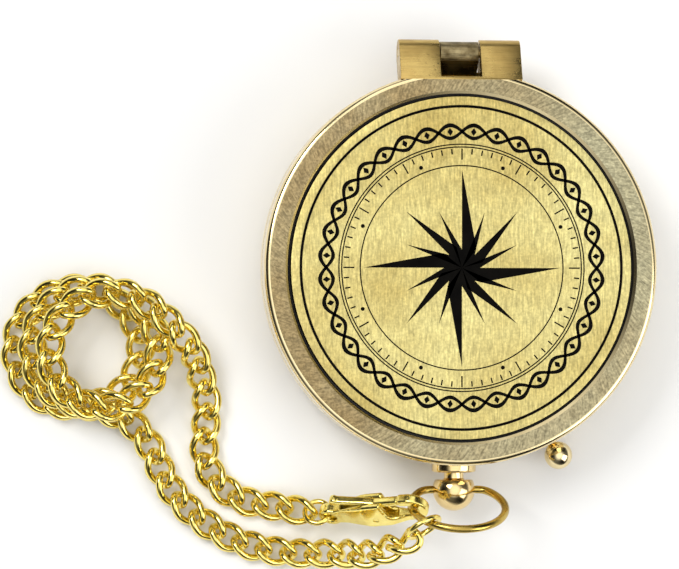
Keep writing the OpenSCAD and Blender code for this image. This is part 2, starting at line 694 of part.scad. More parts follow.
module brake_lever() {
    tube_r = post_d / 2 + brake_tube_gap + brake_tube_wall;
    ring_r = tube_r + brake_ring_w - pass_gap;
    color(brass) in_lock() difference() {
        union() {
            translate([0, 0, lever_low]) cylinder(r = ring_r, h = lever_t);
            translate([0, 0, lever_low]) cylinder(r = tube_r, h = cap_z - brake_gap - lever_low);
            translate([0, -lever_w / 2, lever_low]) cube([tab_end, lever_w, lever_t]);
            translate([tab_end - lever_tab_l, -lever_w / 2, lever_low])
                cube([lever_tab_l, lever_w, tab_top - lever_low]);
            translate([lever_axle_reach, lever_w / 2, lever_axle_z]) rotate([90, 0, 0])
                cylinder(r = lever_barrel_d / 2, h = lever_w);
        }
        cylinder(r = post_d / 2 + brake_tube_gap, h = case_h);
        translate([lever_axle_reach, lever_w, lever_axle_z]) rotate([90, 0, 0])
            cylinder(r = lever_bore_r, h = 2 * lever_w);
    }
}

module lever_bracket() {
    ear_top = lever_axle_z + lever_barrel_d / 2;
    width = lever_pin_l;
    color(brass) in_lock() difference() {
        translate([lever_axle_reach - bracket_l / 2, -width / 2, floor_t])
            cube([bracket_l, width, ear_top - floor_t]);
        translate([lever_axle_reach - bracket_l, -bracket_ear_x, floor_t + bracket_foot_t])
            cube([2 * bracket_l, 2 * bracket_ear_x, case_h]);
        translate([lever_axle_reach, width, lever_axle_z]) rotate([90, 0, 0])
            cylinder(r = lever_bore_r, h = 2 * width);
    }
}

module lever_pin() {
    color(steel) in_lock() translate([lever_axle_reach, lever_pin_l / 2, lever_axle_z]) rotate([90, 0, 0])
        cylinder(r = lever_pin_d / 2, h = lever_pin_l);
}

module lever_spring() {
    foot_start = lever_axle_reach + bracket_l / 2 + seat_gap;
    foot_end = foot_start + leaf_foot_l;
    rise = lever_low - seat_gap / 2 - leaf_t;
    color(steel) in_lock() difference() {
        translate([0, leaf_w / 2, 0]) rotate([90, 0, 0]) linear_extrude(leaf_w) polygon([
            [foot_start, floor_t], [foot_end, floor_t], [tab_end, rise], [tab_end, rise + leaf_t],
            [foot_end, floor_t + leaf_t], [foot_start, floor_t + leaf_t]
        ]);
        translate([foot_start + leaf_foot_l / 2, 0, 0]) cylinder(r = rivet_d / 4 + running_gap, h = case_h);
    }
}

module spring_rivet() {
    color(brass) in_lock()
        translate([lever_axle_reach + bracket_l / 2 + seat_gap + leaf_foot_l / 2, 0, floor_t]) {
            cylinder(r = rivet_d / 4, h = leaf_t + rivet_h);
            translate([0, 0, leaf_t]) cylinder(r = rivet_d / 2, h = rivet_h);
        }
}

module lock_knob() {
    color(bright) facing_out(lock_turn, knob_z) {
        translate([0, 0, stem_tip_reach]) cylinder(r1 = stem_tip_d / 2, r2 = stem_d / 2, h = stem_cone_l);
        translate([0, 0, stem_tip_reach + stem_cone_l])
            cylinder(r = stem_d / 2, h = knob_ball_reach - stem_tip_reach - stem_cone_l);
        translate([0, 0, knob_ball_reach]) sphere(r = knob_d / 2);
    }
}

module knob_bush() {
    color(bright) facing_out(lock_turn, knob_z) difference() {
        union() {
            translate([0, 0, spot_reach - bush_neck_l]) cylinder(r = bush_neck_d / 2, h = bush_neck_l);
            translate([0, 0, spot_reach]) cylinder(r = bush_d / 2, h = bush_wide_l);
            translate([0, 0, spot_reach + bush_wide_l]) cylinder(r = bush_step_d / 2, h = bush_narrow_l);
        }
        cylinder(r = stem_d / 2 + running_gap, h = case_d);
    }
}

module pendant_collar() {
    color(bright) facing_out(-90, pendant_h)
        flat_ring(collar_d / 2, screw_d / 2 + running_gap, collar_l, pendant_flat);
}

module pendant_ball() {
    color(bright) difference() {
        facing_out(-90, pendant_h) {
            translate([0, 0, pendant_flat - screw_in_wall])
                cylinder(r = screw_d / 2, h = screw_in_wall + collar_l);
            translate([0, 0, pendant_flat + collar_l]) cylinder(r = neck_d / 2, h = neck_l + ball_cut);
            difference() {
                translate([0, 0, -ball_y]) sphere(r = ball_d / 2);
                translate([0, 0, -ball_y - ball_cut - ball_d]) cylinder(r = ball_d, h = ball_d);
            }
        }
        rod_x(bow_hole_r, 2 * ball_d, ball_y, pendant_h);
    }
}

// The bow lying flat, with the axis of its ends along X, and each end set a little way into the ring
module bow_shape() {
    set_in = 3;
    for (side = [0, 1]) mirror([side, 0, 0]) {
        translate([bow_end_gap, 0, 0]) rotate([0, 90, 0])
            cylinder(r = bow_end_r, h = bow_bend_out - bow_end_gap);
        translate([bow_bend_out, bow_bend_r, 0]) rotate([0, 0, -90])
            rotate_extrude(angle = 90 - bow_turn + set_in) translate([bow_bend_r, 0]) circle(r = bow_end_r);
    }
    translate([0, bow_rise, 0]) rotate([0, 0, -bow_turn]) rotate_extrude(angle = 180 + 2 * bow_turn)
        translate([bow_r, 0]) circle(r = bow_wire_r);
}

module bow() {
    color(brass) on_axes([0, ball_y, pendant_h], [1, 0, 0], [0, -cos(bow_raise), sin(bow_raise)],
        [0, -sin(bow_raise), -cos(bow_raise)]) bow_shape();
}

// Places its children on the clasp: its eye at the origin, its hook towards +X and its gate towards +Y
module in_clasp() {
    on_axes(clasp_eye, clasp_aim, clasp_y, clasp_z) children();
}

// Shape of the clasp seen square to its opening
module clasp_plan() {
    half_w = clasp_w / 2;
    eye_r = eye_d / 2;
    body_start = gate_pin_x - gate_boss_d / 2;
    difference() {
        union() {
            circle(r = eye_r + eye_w);
            polygon([
                [eye_r / 2, -eye_r - eye_w / 3], [body_start, -half_w], [hook_end - hook_r, -half_w],
                [hook_end - hook_r, half_w], [body_start, half_w], [eye_r / 2, eye_r + eye_w / 3]
            ]);
            translate([hook_end - hook_r, 0]) circle(r = half_w);
        }
        circle(r = eye_r);
        translate([hook_start + hook_r, -hook_r]) square([hook_room_l - 2 * hook_r, 2 * hook_r]);
        translate([hook_start + hook_r, 0]) circle(r = hook_r);
        translate([hook_end - hook_r, 0]) circle(r = hook_r);
        translate([hook_start, hook_r / 2]) square([gate_tip + seat_gap - hook_start, clasp_w]);
    }
}

// Shape of the clasp seen from its edge: thick at the gate, thin at both ends
module clasp_edge() {
    polygon([
        [-eye_d, -eye_t / 2], [eye_d, -eye_t / 2], [gate_pin_x - gate_boss_d, -clasp_t / 2],
        [hook_start, -clasp_t / 2], [gate_tip, -hook_t / 2], [hook_end + clasp_w, -hook_t / 2],
        [hook_end + clasp_w, hook_t / 2], [gate_tip, hook_t / 2], [hook_start, clasp_t / 2],
        [gate_pin_x - gate_boss_d, clasp_t / 2], [eye_d, eye_t / 2], [-eye_d, eye_t / 2]
    ]);
}

module clasp_body() {
    slot_t = gate_t + 2 * gate_gap;
    color(chain_gold) in_clasp() difference() {
        intersection() {
            translate([0, 0, -clasp_t]) linear_extrude(2 * clasp_t) clasp_plan();
            translate([0, clasp_w, 0]) rotate([90, 0, 0]) linear_extrude(2 * clasp_w) clasp_edge();
        }
        translate([gate_slot_start, gate_slot_low, -slot_t / 2])
            cube([hook_start + hook_r - gate_slot_start, clasp_w, slot_t]);
        translate([gate_pin_x, gate_pin_y, -clasp_t]) cylinder(r = gate_pin_d / 2 + running_gap, h = 2 * clasp_t);
    }
}

module clasp_gate() {
    boss_r = gate_boss_d / 2;
    half_w = clasp_w / 2;
    thumb_y = half_w + thumb_out;
    thumb_r = thumb_d / 2;
    color(chain_gold) in_clasp() translate([0, 0, -gate_t / 2]) difference() {
        linear_extrude(gate_t) {
            translate([gate_pin_x, gate_pin_y]) circle(r = boss_r);
            translate([thumb_back, thumb_y]) circle(r = thumb_r);
            polygon([
                [gate_pin_x + boss_r, gate_pin_y], [gate_pin_x + boss_r, hook_r - boss_r / 2],
                [gate_pin_x + 2 * boss_r, hook_r + seat_gap], [gate_tip, hook_r + seat_gap],
                [gate_tip, half_w - seat_gap], [gate_pin_x + boss_r, half_w - seat_gap],
                [gate_pin_x - boss_r, half_w + boss_r / 2], [thumb_back + thumb_r / 2, thumb_y + thumb_r / 2],
                [thumb_back - thumb_r / 2, thumb_y - thumb_r / 2], [gate_pin_x - 2 * boss_r, half_w],
                [gate_pin_x - boss_r, half_w - boss_r], [gate_pin_x - boss_r, gate_pin_y]
            ]);
        }
        translate([gate_pin_x, gate_pin_y, -overrun])
            cylinder(r = gate_pin_d / 2 + running_gap, h = gate_t + 2 * overrun);
    }
}

module clasp_pin() {
    color(chain_gold) in_clasp() translate([gate_pin_x, gate_pin_y, -clasp_t / 2])
        cylinder(r = gate_pin_d / 2, h = clasp_t);
}

module clasp_spring() {
    start = gate_slot_start + seat_gap;
    low = gate_slot_low + seat_gap / 2;
    rest_x = gate_pin_x - gate_boss_d / 2 - seat_gap;
    mid_x = (start + rest_x) / 2;
    color(steel) in_clasp() translate([0, 0, -gate_t / 3]) linear_extrude(2 * gate_t / 3) polygon([
        [start, low], [mid_x, low], [rest_x, hook_r / 3], [rest_x, hook_r / 3 + 2 * gate_spring_t],
        [mid_x, low + gate_spring_t], [start, low + gate_spring_t]
    ]);
}

module clasp_ring() {
    chain_end = place(along_chain(link_pitch * (link_count - 1)));
    aim = unit(chain_end - clasp_eye);
    axis = unit(cross(clasp_z, aim));
    away = clasp_ring_r + clasp_ring_wire_d / 2 - seat_gap;
    color(chain_gold) on_axes(clasp_eye + away * aim, aim, cross(axis, aim), axis)
        wire_ring(clasp_ring_r, clasp_ring_wire_d / 2);
}

module end_ring() {
    color(chain_gold) on_axes(end_ring_mid, end_ring_aim, cross(end_ring_axis, end_ring_aim), end_ring_axis)
        wire_ring(end_ring_r, end_ring_wire_d / 2);
}

// Links of the chain, each turned along the route and rolled about it
module chain_links(stretch) {
    for (i = [stretch[0] : stretch[1] - 1]) {
        middle = along_chain(link_pitch * i);
        before = along_chain(link_pitch * (i - 1 / 2));
        after = along_chain(link_pitch * (i + 1 / 2));
        along = unit(place(after) - place(before));
        flat = unit(cross([0, 0, 1], along));
        up = cross(along, flat);
        side = cos(middle[3]) * flat + sin(middle[3]) * up;
        on_axes(place(middle), along, side, cross(along, side)) polyhedron(link_points, link_faces);
    }
}

module chain_lead_b() {
    color(chain_gold) chain_links(LEAD_B);
}

module chain_run_b() {
    color(chain_gold) chain_links(RUN_B);
}

module chain_pile() {
    color(chain_gold) chain_links(PILE);
}

module chain_run_a() {
    color(chain_gold) chain_links(RUN_A);
}

module chain_lead_a() {
    color(chain_gold) chain_links(LEAD_A);
}

case_bowl();
case_hinge_leaf();
hinge_pin();
lid_rim();
lid_plate();
lid_hinge_leaf();
crystal();
crystal_ring();
dial();
spacer_ring();
pivot_post();
needle();
needle_cap();
cap_jewel();
brake_lever();
lever_bracket();
lever_pin();
lever_spring();
spring_rivet();
lock_knob();
knob_bush();
pendant_collar();
pendant_ball();
bow();
clasp_body();
clasp_gate();
clasp_pin();
clasp_spring();
clasp_ring();
end_ring();
chain_lead_b();
chain_run_b();
chain_pile();
chain_run_a();
chain_lead_a();
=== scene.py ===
import logging
from dataclasses import dataclass
from enum import Enum
from math import acos, atan2, cos, degrees, pi, radians, sin, sqrt, tau
from typing import Callable, Iterable, NamedTuple, Optional, Sequence, Union

import bmesh
import bpy
from mathutils import Matrix, Vector


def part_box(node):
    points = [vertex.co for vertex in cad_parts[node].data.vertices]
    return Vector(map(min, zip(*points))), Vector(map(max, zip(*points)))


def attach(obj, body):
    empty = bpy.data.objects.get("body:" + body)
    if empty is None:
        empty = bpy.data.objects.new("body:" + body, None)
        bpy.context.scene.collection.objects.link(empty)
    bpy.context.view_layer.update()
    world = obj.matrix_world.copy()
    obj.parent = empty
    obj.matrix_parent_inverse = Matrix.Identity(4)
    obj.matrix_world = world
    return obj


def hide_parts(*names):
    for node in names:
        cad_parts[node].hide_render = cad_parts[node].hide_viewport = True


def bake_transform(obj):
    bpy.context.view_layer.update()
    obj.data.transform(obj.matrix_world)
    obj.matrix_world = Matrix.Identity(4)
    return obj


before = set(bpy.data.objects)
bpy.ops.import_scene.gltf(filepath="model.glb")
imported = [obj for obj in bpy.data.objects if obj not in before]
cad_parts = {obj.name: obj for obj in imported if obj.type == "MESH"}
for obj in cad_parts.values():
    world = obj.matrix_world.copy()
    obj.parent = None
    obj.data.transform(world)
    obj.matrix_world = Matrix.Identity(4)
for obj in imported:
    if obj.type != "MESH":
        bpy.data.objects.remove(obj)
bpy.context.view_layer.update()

LOG = logging.getLogger("pocket_compass")
MM = 0.001
ROUND_STEPS = 192  # faces round a large turned piece
CREASE = 35.0  # degrees from which an edge shows as a crease
TOUCH = 0.01  # millimetres within which a face counts as lying on a surface
CLEAR = 30.0  # millimetres from the middle, clear outside of the case

Mesh = bmesh.types.BMesh
Piece = bpy.types.Object
Socket = bpy.types.NodeSocket
Colour = tuple[float, float, float]
Point = tuple[float, float]
Place = tuple[float, float, float]
Four = tuple[float, float, float, float]
Value = Union[float, Sequence[float], Socket]
Zone = Callable[[Vector, Vector], int]


class Grain(Enum):
    """Ways in which a metal's fine lines run."""

    NONE = "none"
    LENGTHWAYS = "lengthways"
    CROSSWAYS = "crossways"
    SWEPT = "swept"
    TURNED = "turned"


class Graph:
    """Short calls that add and join shader nodes."""

    def __init__(self, tree: bpy.types.NodeTree) -> None:
        """Starts from an empty tree."""
        self.tree = tree
        tree.nodes.clear()

    def add(self, kind: str, inputs: dict[Union[int, str], Value], **settings: object) -> bpy.types.Node:
        """Adds a node.

        Args:
            kind: The node's type name.
            inputs: Values or outputs for its sockets; a colour has three parts.
            settings: The node's own properties.

        Returns:
            The new node.
        """
        node = self.tree.nodes.new(kind)
        for name, setting in settings.items():
            setattr(node, name, setting)
        for key, value in inputs.items():
            socket = node.inputs[key]
            if isinstance(value, bpy.types.NodeSocket):
                self.tree.links.new(value, socket)
            else:
                socket.default_value = (*value, 1.0) if socket.type == "RGBA" else value
        return node

    def math(self, operation: str, first: Value, second: Value = 0.0) -> Socket:
        """Result of a Math node."""
        return self.add("ShaderNodeMath", {0: first, 1: second}, operation=operation).outputs[0]

    def noise(self, vector: Socket, scale: float, detail: float, rough: float) -> Socket:
        """Grey value of a Noise texture."""
        inputs = {"Vector": vector, "Scale": scale, "Detail": detail, "Roughness": rough}
        return self.add("ShaderNodeTexNoise", inputs).outputs["Fac"]

    def spread(self, value: Socket, low: float, high: float, to_low: float, to_high: float) -> Socket:
        """Value carried over from one span to another, held within its ends."""
        inputs = {"Value": value, "From Min": low, "From Max": high, "To Min": to_low, "To Max": to_high}
        return self.add("ShaderNodeMapRange", inputs).outputs["Result"]

    def mix(self, share: Value, first: Value, second: Value, blend: str = "MIX") -> Socket:
        """Colour between two colours."""
        inputs = {0: share, 6: first, 7: second}
        return self.add("ShaderNodeMix", inputs, data_type="RGBA", blend_type=blend).outputs[2]

    def parts(self, vector: Socket) -> Sequence[Socket]:
        """The three parts of a vector."""
        return self.add("ShaderNodeSeparateXYZ", {0: vector}).outputs

    def scaled(self, vector: Socket, scale: Sequence[float]) -> Socket:
        """Vector with each axis stretched."""
        return self.add("ShaderNodeVectorMath", {0: vector, 1: scale}, operation="MULTIPLY").outputs[0]

    def bump(self, height: Socket, depth: float, under: Optional[Socket] = None) -> Socket:
        """Surface direction over small heights, with any bumps under them."""
        below = {"Normal": under} if under else {}
        return self.add("ShaderNodeBump", {"Height": height, "Distance": depth, **below}).outputs[0]

    def principled(self, inputs: dict[Union[int, str], Value]) -> Socket:
        """Output of the main shader."""
        return self.add("ShaderNodeBsdfPrincipled", inputs).outputs[0]


class Surface:
    """A finish: its name, and the nodes that make it."""

    name: str

    def shade(self, graph: Graph, place: Socket) -> Socket:
        """Adds the finish's nodes.

        Args:
            graph: The material's graph.
            place: Position on the object.

        Returns:
            The shader's output.
        """
        raise NotImplementedError

    def material(self) -> bpy.types.Material:
        """Makes the material, once.

        Returns:
            The material.
        """
        made = bpy.data.materials.get(self.name)
        if not made:
            made = bpy.data.materials.new(self.name)
            made.use_nodes = True
            graph = Graph(made.node_tree)
            place = graph.add("ShaderNodeTexCoord", {}).outputs["Object"]
            graph.add("ShaderNodeOutputMaterial", {0: self.shade(graph, place)})
        return made


def linear(colour: tuple[int, int, int]) -> Colour:
    """Turns a colour as seen on a screen into the renderer's own scale."""
    shares = (value / 255 for value in colour)
    return tuple(share / 12.92 if share <= 0.04045 else ((share + 0.055) / 1.055) ** 2.4 for share in shares)


@dataclass(frozen=True)
class Metal(Surface):
    """A metal surface with fine lines, duller patches, small knocks and, where set, painted shade on its left
    side.

    Attributes:
        name: Name of the material.
        colour: Colour of the clean metal, as seen on a screen.
        dull: Colour of its duller patches, and of the painted shade on its left side.
        roughness: Middle value of its roughness.
        grain: How its fine lines run.
        fineness: Fine lines to the metre.
        depth: Depth of the lines, in metres.
        contrast: How much the lines change the colour.
        dull_share: How much of the surface is dull.
        patch_scale: Dull patches to the metre.
        wear_depth: Depth of small knocks, in metres.
        streak: How many times longer than wide a fine line is.
        speckle: How much fine specks change the colour.
        painted_left_shade: How much of the dull colour is painted on the left side as painted shade, fading out
            towards the right.
        sweep: Slant of swept lines, in radians to the metre.
        round_reach: Distance from the middle at which round lines have their length, in metres.
    """

    name: str
    colour: tuple[int, int, int]
    dull: tuple[int, int, int]
    roughness: float
    grain: Grain = Grain.NONE
    fineness: float = 9000.0
    depth: float = 3e-6
    contrast: float = 0.12
    dull_share: float = 0.35
    patch_scale: float = 140.0
    wear_depth: float = 2e-6
    streak: float = 40.0
    speckle: float = 0.0
    painted_left_shade: float = 0.0
    sweep: float = 0.0
    round_reach: float = 0.02

    def line_vector(self, graph: Graph, place: Socket) -> Socket:
        """Position stretched along the fine lines.

        Args:
            graph: The material's graph.
            place: Position on the object.

        Returns:
            The stretched position.
        """
        across, along = self.fineness, self.fineness / self.streak
        if self.grain in (Grain.SWEPT, Grain.TURNED):
            x, y, _ = graph.parts(place)
            squares = [graph.math("POWER", part, 2.0) for part in (x, y)]
            radius = graph.math("SQRT", graph.math("ADD", *squares))
            angle = graph.math("ADD", graph.math("ARCTAN2", y, x), graph.math("MULTIPLY", radius, self.sweep))
            turned, outward = (along, across) if self.grain is Grain.TURNED else (across, 2 * along)
            inputs = {0: graph.math("MULTIPLY", angle, turned * self.round_reach),
                      1: graph.math("MULTIPLY", radius, outward)}
            return graph.add("ShaderNodeCombineXYZ", inputs).outputs[0]
        scales = {Grain.LENGTHWAYS: (across, along, across), Grain.CROSSWAYS: (along, across, across)}
        return graph.scaled(place, scales.get(self.grain, (across, across, across)))

    def shade(self, graph: Graph, place: Socket) -> Socket:
        """Adds the metal's nodes and gives its shader.

        Args:
            graph: The material's graph.
            place: Position on the object.

        Returns:
            The shader's output.
        """
        lines = graph.noise(self.line_vector(graph, place), 1.0, 4.0, 0.62)
        patches = graph.noise(place, self.patch_scale, 5.0, 0.6)
        knocks = graph.noise(place, 2600.0, 2.0, 0.5)
        specks = graph.noise(place, 3300.0, 1.0, 0.5)
        share = graph.spread(patches, 0.38, 0.68, 0.0, self.dull_share)
        # Painted shade: the left side takes more of the dull colour, so it looks darker than the right.
        if self.painted_left_shade:
            left_shade = graph.spread(graph.parts(place)[0], -0.022, 0.012, self.painted_left_shade, 0.0)
            share = graph.math("ADD", share, left_shade)
        level = graph.math("MULTIPLY", graph.spread(lines, 0.3, 0.7, 1.0 - self.contrast, 1.0),
                           graph.spread(specks, 0.35, 0.65, 1.0 - self.speckle, 1.0))
        grey = graph.add("ShaderNodeCombineColor", {0: level, 1: level, 2: level}).outputs[0]
        colour = graph.mix(1.0, graph.mix(share, linear(self.colour), linear(self.dull)), grey, "MULTIPLY")
        rough = graph.math("ADD", graph.spread(lines, 0.3, 0.7, self.roughness * 0.85, self.roughness * 1.15),
                           graph.math("MULTIPLY", share, 0.25))
        bumps = graph.bump(graph.spread(knocks, 0.62, 0.8, 1.0, 0.0), self.wear_depth,
                           graph.bump(lines, self.depth))
        return graph.principled({"Base Color": colour, "Metallic": 1.0, "Roughness": rough, "Normal": bumps})


@dataclass(frozen=True)
class Coat(Surface):
    """Paint, enamel, lacquer, jewel or painted shade: a colour with a faint mottle.

    Attributes:
        name: Name of the material.
        colour: Its colour, as seen on a screen.
        mottle: Colour of its faint patches.
        roughness: Its roughness.
        coat: Weight of a clear coat over it.
        specular: Level of its reflection.
    """

    name: str
    colour: tuple[int, int, int]
    mottle: tuple[int, int, int]
    roughness: float
    coat: float = 0.0
    specular: float = 0.5

    def shade(self, graph: Graph, place: Socket) -> Socket:
        """Adds the coat's nodes and gives its shader.

        Args:
            graph: The material's graph.
            place: Position on the object.

        Returns:
            The shader's output.
        """
        patches = graph.noise(place, 400.0, 4.0, 0.6)
        grit = graph.noise(place, 5000.0, 2.0, 0.5)
        return graph.principled({
            "Base Color": graph.mix(graph.spread(patches, 0.35, 0.7, 0.0, 1.0), linear(self.colour),
                                    linear(self.mottle)),
            "Roughness": graph.spread(grit, 0.3, 0.7, self.roughness * 0.9, self.roughness * 1.1),
            "Coat Weight": self.coat, "Specular IOR Level": self.specular, "Normal": graph.bump(grit, 1e-6)})


@dataclass(frozen=True)
class Crystal(Surface):
    """Clear glass with faint wipe marks."""

    name: str = "clear_glass"
    tint: Colour = (0.97, 0.99, 0.98)
    ior: float = 1.5

    def shade(self, graph: Graph, place: Socket) -> Socket:
        """Adds the glass's nodes and gives its shader."""
        smear = graph.noise(graph.scaled(place, (900.0, 120.0, 120.0)), 1.0, 3.0, 0.5)
        rough = graph.spread(smear, 0.55, 0.8, 0.0, 0.06)
        return graph.principled({"Roughness": rough, "Base Color": self.tint, "IOR": self.ior,
                                 "Transmission Weight": 1.0})


@dataclass(frozen=True)
class Pale(Surface):
    """The plain pale floor."""

    name: str = "pale_floor"
    tint: Colour = (0.95, 0.95, 0.95)

    def shade(self, graph: Graph, place: Socket) -> Socket:
        """Adds the floor's node and gives its shader."""
        return graph.add("ShaderNodeBsdfDiffuse", {0: self.tint}).outputs[0]


POLISHED = Metal("mirror_brass", (238, 220, 172), (206, 178, 120), 0.09, depth=4e-7, contrast=0.04,
                 dull_share=0.3, patch_scale=260.0, wear_depth=1.5e-6)
ROSE_BRASS = Metal("rose_brass", (238, 212, 154), (204, 170, 108), 0.1, depth=4e-7, contrast=0.04,
                   dull_share=0.3, patch_scale=320.0, wear_depth=1.5e-6)
# The brushed plate and the satin rim carry painted shade darkening their left sides.
PLATE = Metal("brushed_plate", (250, 238, 164), (216, 188, 104), 0.33, Grain.LENGTHWAYS, 3800.0, 9e-6, 0.5,
              0.7, 48.0, streak=7.0, speckle=0.2, painted_left_shade=0.35)
SATIN_RIM = Metal("satin_rim", (212, 206, 168), (180, 148, 94), 0.28, Grain.SWEPT, 3200.0, 1.4e-5, 0.6,
                  0.45, 42.0, streak=9.0, speckle=0.35, painted_left_shade=0.6, sweep=28.0, round_reach=0.0235)
SATIN_HINGE = Metal("satin_hinge", (208, 180, 110), (176, 142, 80), 0.22, Grain.CROSSWAYS, 4200.0, 4e-6, 0.26,
                    0.6, 260.0, 1e-5, 18.0)
SAWN = Metal("sawn_knuckle", (206, 188, 142), (112, 94, 60), 0.36, Grain.CROSSWAYS, 2200.0, 8e-5, 0.7,
             0.9, 500.0, 4e-5, 9.0)
TURNED = Metal("turned_brass", (224, 202, 140), (192, 168, 108), 0.24, Grain.TURNED, 7000.0, contrast=0.2,
               dull_share=0.3, patch_scale=60.0)
BOW_WIRE = Metal("bow_wire", (206, 178, 92), (158, 130, 60), 0.16, depth=1e-6, contrast=0.08,
                 dull_share=0.6, patch_scale=380.0)
CHAIN = Metal("gilt_chain", (252, 232, 132), (224, 186, 78), 0.08, fineness=4000.0, depth=1e-6, contrast=0.1,
              patch_scale=900.0)
CAST_GOLD = Metal("gilt_cast", (255, 238, 142), (238, 202, 86), 0.14, fineness=2000.0, depth=1e-6, contrast=0.1,
                  dull_share=0.4, patch_scale=700.0, wear_depth=3e-6)
STEEL = Metal("ground_steel", (190, 192, 196), (150, 152, 158), 0.28, Grain.CROSSWAYS, depth=2e-6)
BLUED = Metal("blued_half", (40, 62, 128), (26, 36, 84), 0.24, Grain.LENGTHWAYS, depth=1e-6)
SILVERED = Metal("bright_half", (214, 216, 220), (184, 188, 194), 0.22, Grain.LENGTHWAYS, depth=1e-6)
# Black fill of the engraving; the same black is painted shade on the plate's edge.
BLACK_FILL_AND_EDGE_SHADE = Coat("black_fill_and_edge_shade", (7, 6, 5), (16, 14, 11), 0.6, specular=0.03)
# Painted shade: near-black colour for the gap under the lid and the seam round the plate.
PAINTED_SEAM_SHADE = Coat("painted_seam_shade", (14, 12, 9), (38, 31, 20), 0.6)
ENAMEL = Coat("cream_enamel", (240, 236, 222), (232, 226, 208), 0.35, 0.3)
PRINT = Coat("dial_print", (20, 20, 22), (30, 30, 32), 0.45)
JEWEL = Coat("red_jewel", (150, 20, 40), (120, 12, 32), 0.08, 1.0)
GLASS = Crystal()


def arc(middle: Point, radius: float, start: float, end: float, steps: int) -> list[Point]:
    """Points of an arc, counted from its start to its end.

    Args:
        middle: The arc's middle.
        radius: Its radius.
        start: Angle of its first point, in degrees.
        end: Angle of its last point.
        steps: Number of its segments.

    Returns:
        The points.
    """
    turns = (radians(start + (end - start) * step / steps) for step in range(steps + 1))
    return [(middle[0] + radius * cos(turn), middle[1] + radius * sin(turn)) for turn in turns]


def stepped(*places: float) -> list[Point]:
    """Corners of a stepped outline, from its radii and heights by turns, starting with a radius."""
    pairs = enumerate(zip(places, places[1:]))
    return [(second, first) if index % 2 else (first, second) for index, (first, second) in pairs]


def ball_end(reach: float, radius: float, start_r: float) -> list[Point]:
    """Outline of a ball from a circle on its near side to its far pole.

    Args:
        reach: Height of the ball's middle.
        radius: Radius of the ball.
        start_r: Radius of that circle.

    Returns:
        The outline's points.
    """
    points = arc((0.0, reach), radius, -degrees(acos(start_r / radius)), 90.0, 40)
    return [*points[:-1], (0.0, reach + radius)]


def lathe(points: Sequence[Point], rounds: dict[int, float], closed: bool = False,
          steps: int = ROUND_STEPS, round_steps: int = 5) -> Mesh:
    """Turns an outline about Z.

    Args:
        points: Corners of the outline: distance from the axis, and height along it.
        rounds: Radius for the corners that are rounded.
        closed: Whether the outline is a closed loop, clear of the axis.
        steps: Faces round the axis.
        round_steps: Segments of each rounded corner.

    Returns:
        The turned mesh, in millimetres.
    """
    mesh = bmesh.new()
    corners = [mesh.verts.new((x, 0.0, z)) for x, z in points]
    for first, second in zip(corners, corners[1:] + (corners[:1] if closed else [])):
        mesh.edges.new((first, second))
    for index, radius in rounds.items():
        bmesh.ops.bevel(mesh, geom=[corners[index]], offset=radius, offset_type="OFFSET",
                        segments=round_steps, profile=0.5, affect="VERTICES", material=-1)
    bmesh.ops.spin(mesh, geom=[*mesh.verts, *mesh.edges], cent=(0, 0, 0), axis=(0, 0, 1), angle=tau,
                   steps=steps, use_merge=True)
    bmesh.ops.remove_doubles(mesh, verts=mesh.verts, dist=1e-4)
    bmesh.ops.dissolve_degenerate(mesh, edges=mesh.edges, dist=1e-5)
    bmesh.ops.recalc_face_normals(mesh, faces=mesh.faces)
    return mesh


def new_verts(grown: Iterable[object]) -> list[bmesh.types.BMVert]:
    """The points among what a step has made."""
    return [item for item in grown if isinstance(item, bmesh.types.BMVert)]


def sweep(path: Sequence[Vector], outs: Sequence[Vector], radius: float, sides: int, closed: bool) -> Mesh:
    """Draws a round wire along a path.

    Args:
        path: Points of the wire's middle line.
        outs: A direction square to the path at each point.
        radius: Radius of the wire.
        sides: Faces round the wire.
        closed: Whether the wire's end joins its start.

    Returns:
        The wire, in millimetres.
    """
    count = len(path)
    spots = []
    for index, (middle, out) in enumerate(zip(path, outs)):
        before = path[(index - 1) % count] if closed or index else path[index]
        after = path[(index + 1) % count] if closed or index < count - 1 else path[index]
        along = (after - before).normalized()
        square = (out - out.dot(along) * along).normalized()
        spots.append(on_axes(middle, square, along.cross(square), along))
    mesh = bmesh.new()
    bmesh.ops.create_circle(mesh, cap_ends=False, segments=sides, radius=radius, matrix=spots[0])
    first = last = list(mesh.edges)
    for start, end in zip(spots, spots[1:]):
        grown = bmesh.ops.extrude_edge_only(mesh, edges=last)["geom"]
        verts = new_verts(grown)
        last = [item for item in grown if isinstance(item, bmesh.types.BMEdge)
                and all(vert in verts for vert in item.verts)]
        bmesh.ops.transform(mesh, matrix=end @ start.inverted(), verts=verts)
    if closed:
        bmesh.ops.bridge_loops(mesh, edges=first + last)
    else:
        bmesh.ops.holes_fill(mesh, edges=[edge for edge in mesh.edges if edge.is_boundary], sides=0)
    bmesh.ops.recalc_face_normals(mesh, faces=mesh.faces)
    return mesh


def outwards(turn: float, height: float) -> Matrix:
    """Placement whose +Z points away from the middle, in a direction and at a height."""
    return (Matrix.Translation((0, 0, height)) @ Matrix.Rotation(radians(turn), 4, "Z")
            @ Matrix.Rotation(radians(90), 4, "Y"))


def on_axes(origin: Vector, first: Vector, second: Vector, third: Vector) -> Matrix:
    """Placement with its axes along three given directions.

    Args:
        origin: Its origin.
        first: Direction of its X axis, as second and third are of Y and Z.

    Returns:
        The placement.
    """
    spot = Matrix((first, second, third)).transposed().to_4x4()
    spot.translation = origin
    return spot


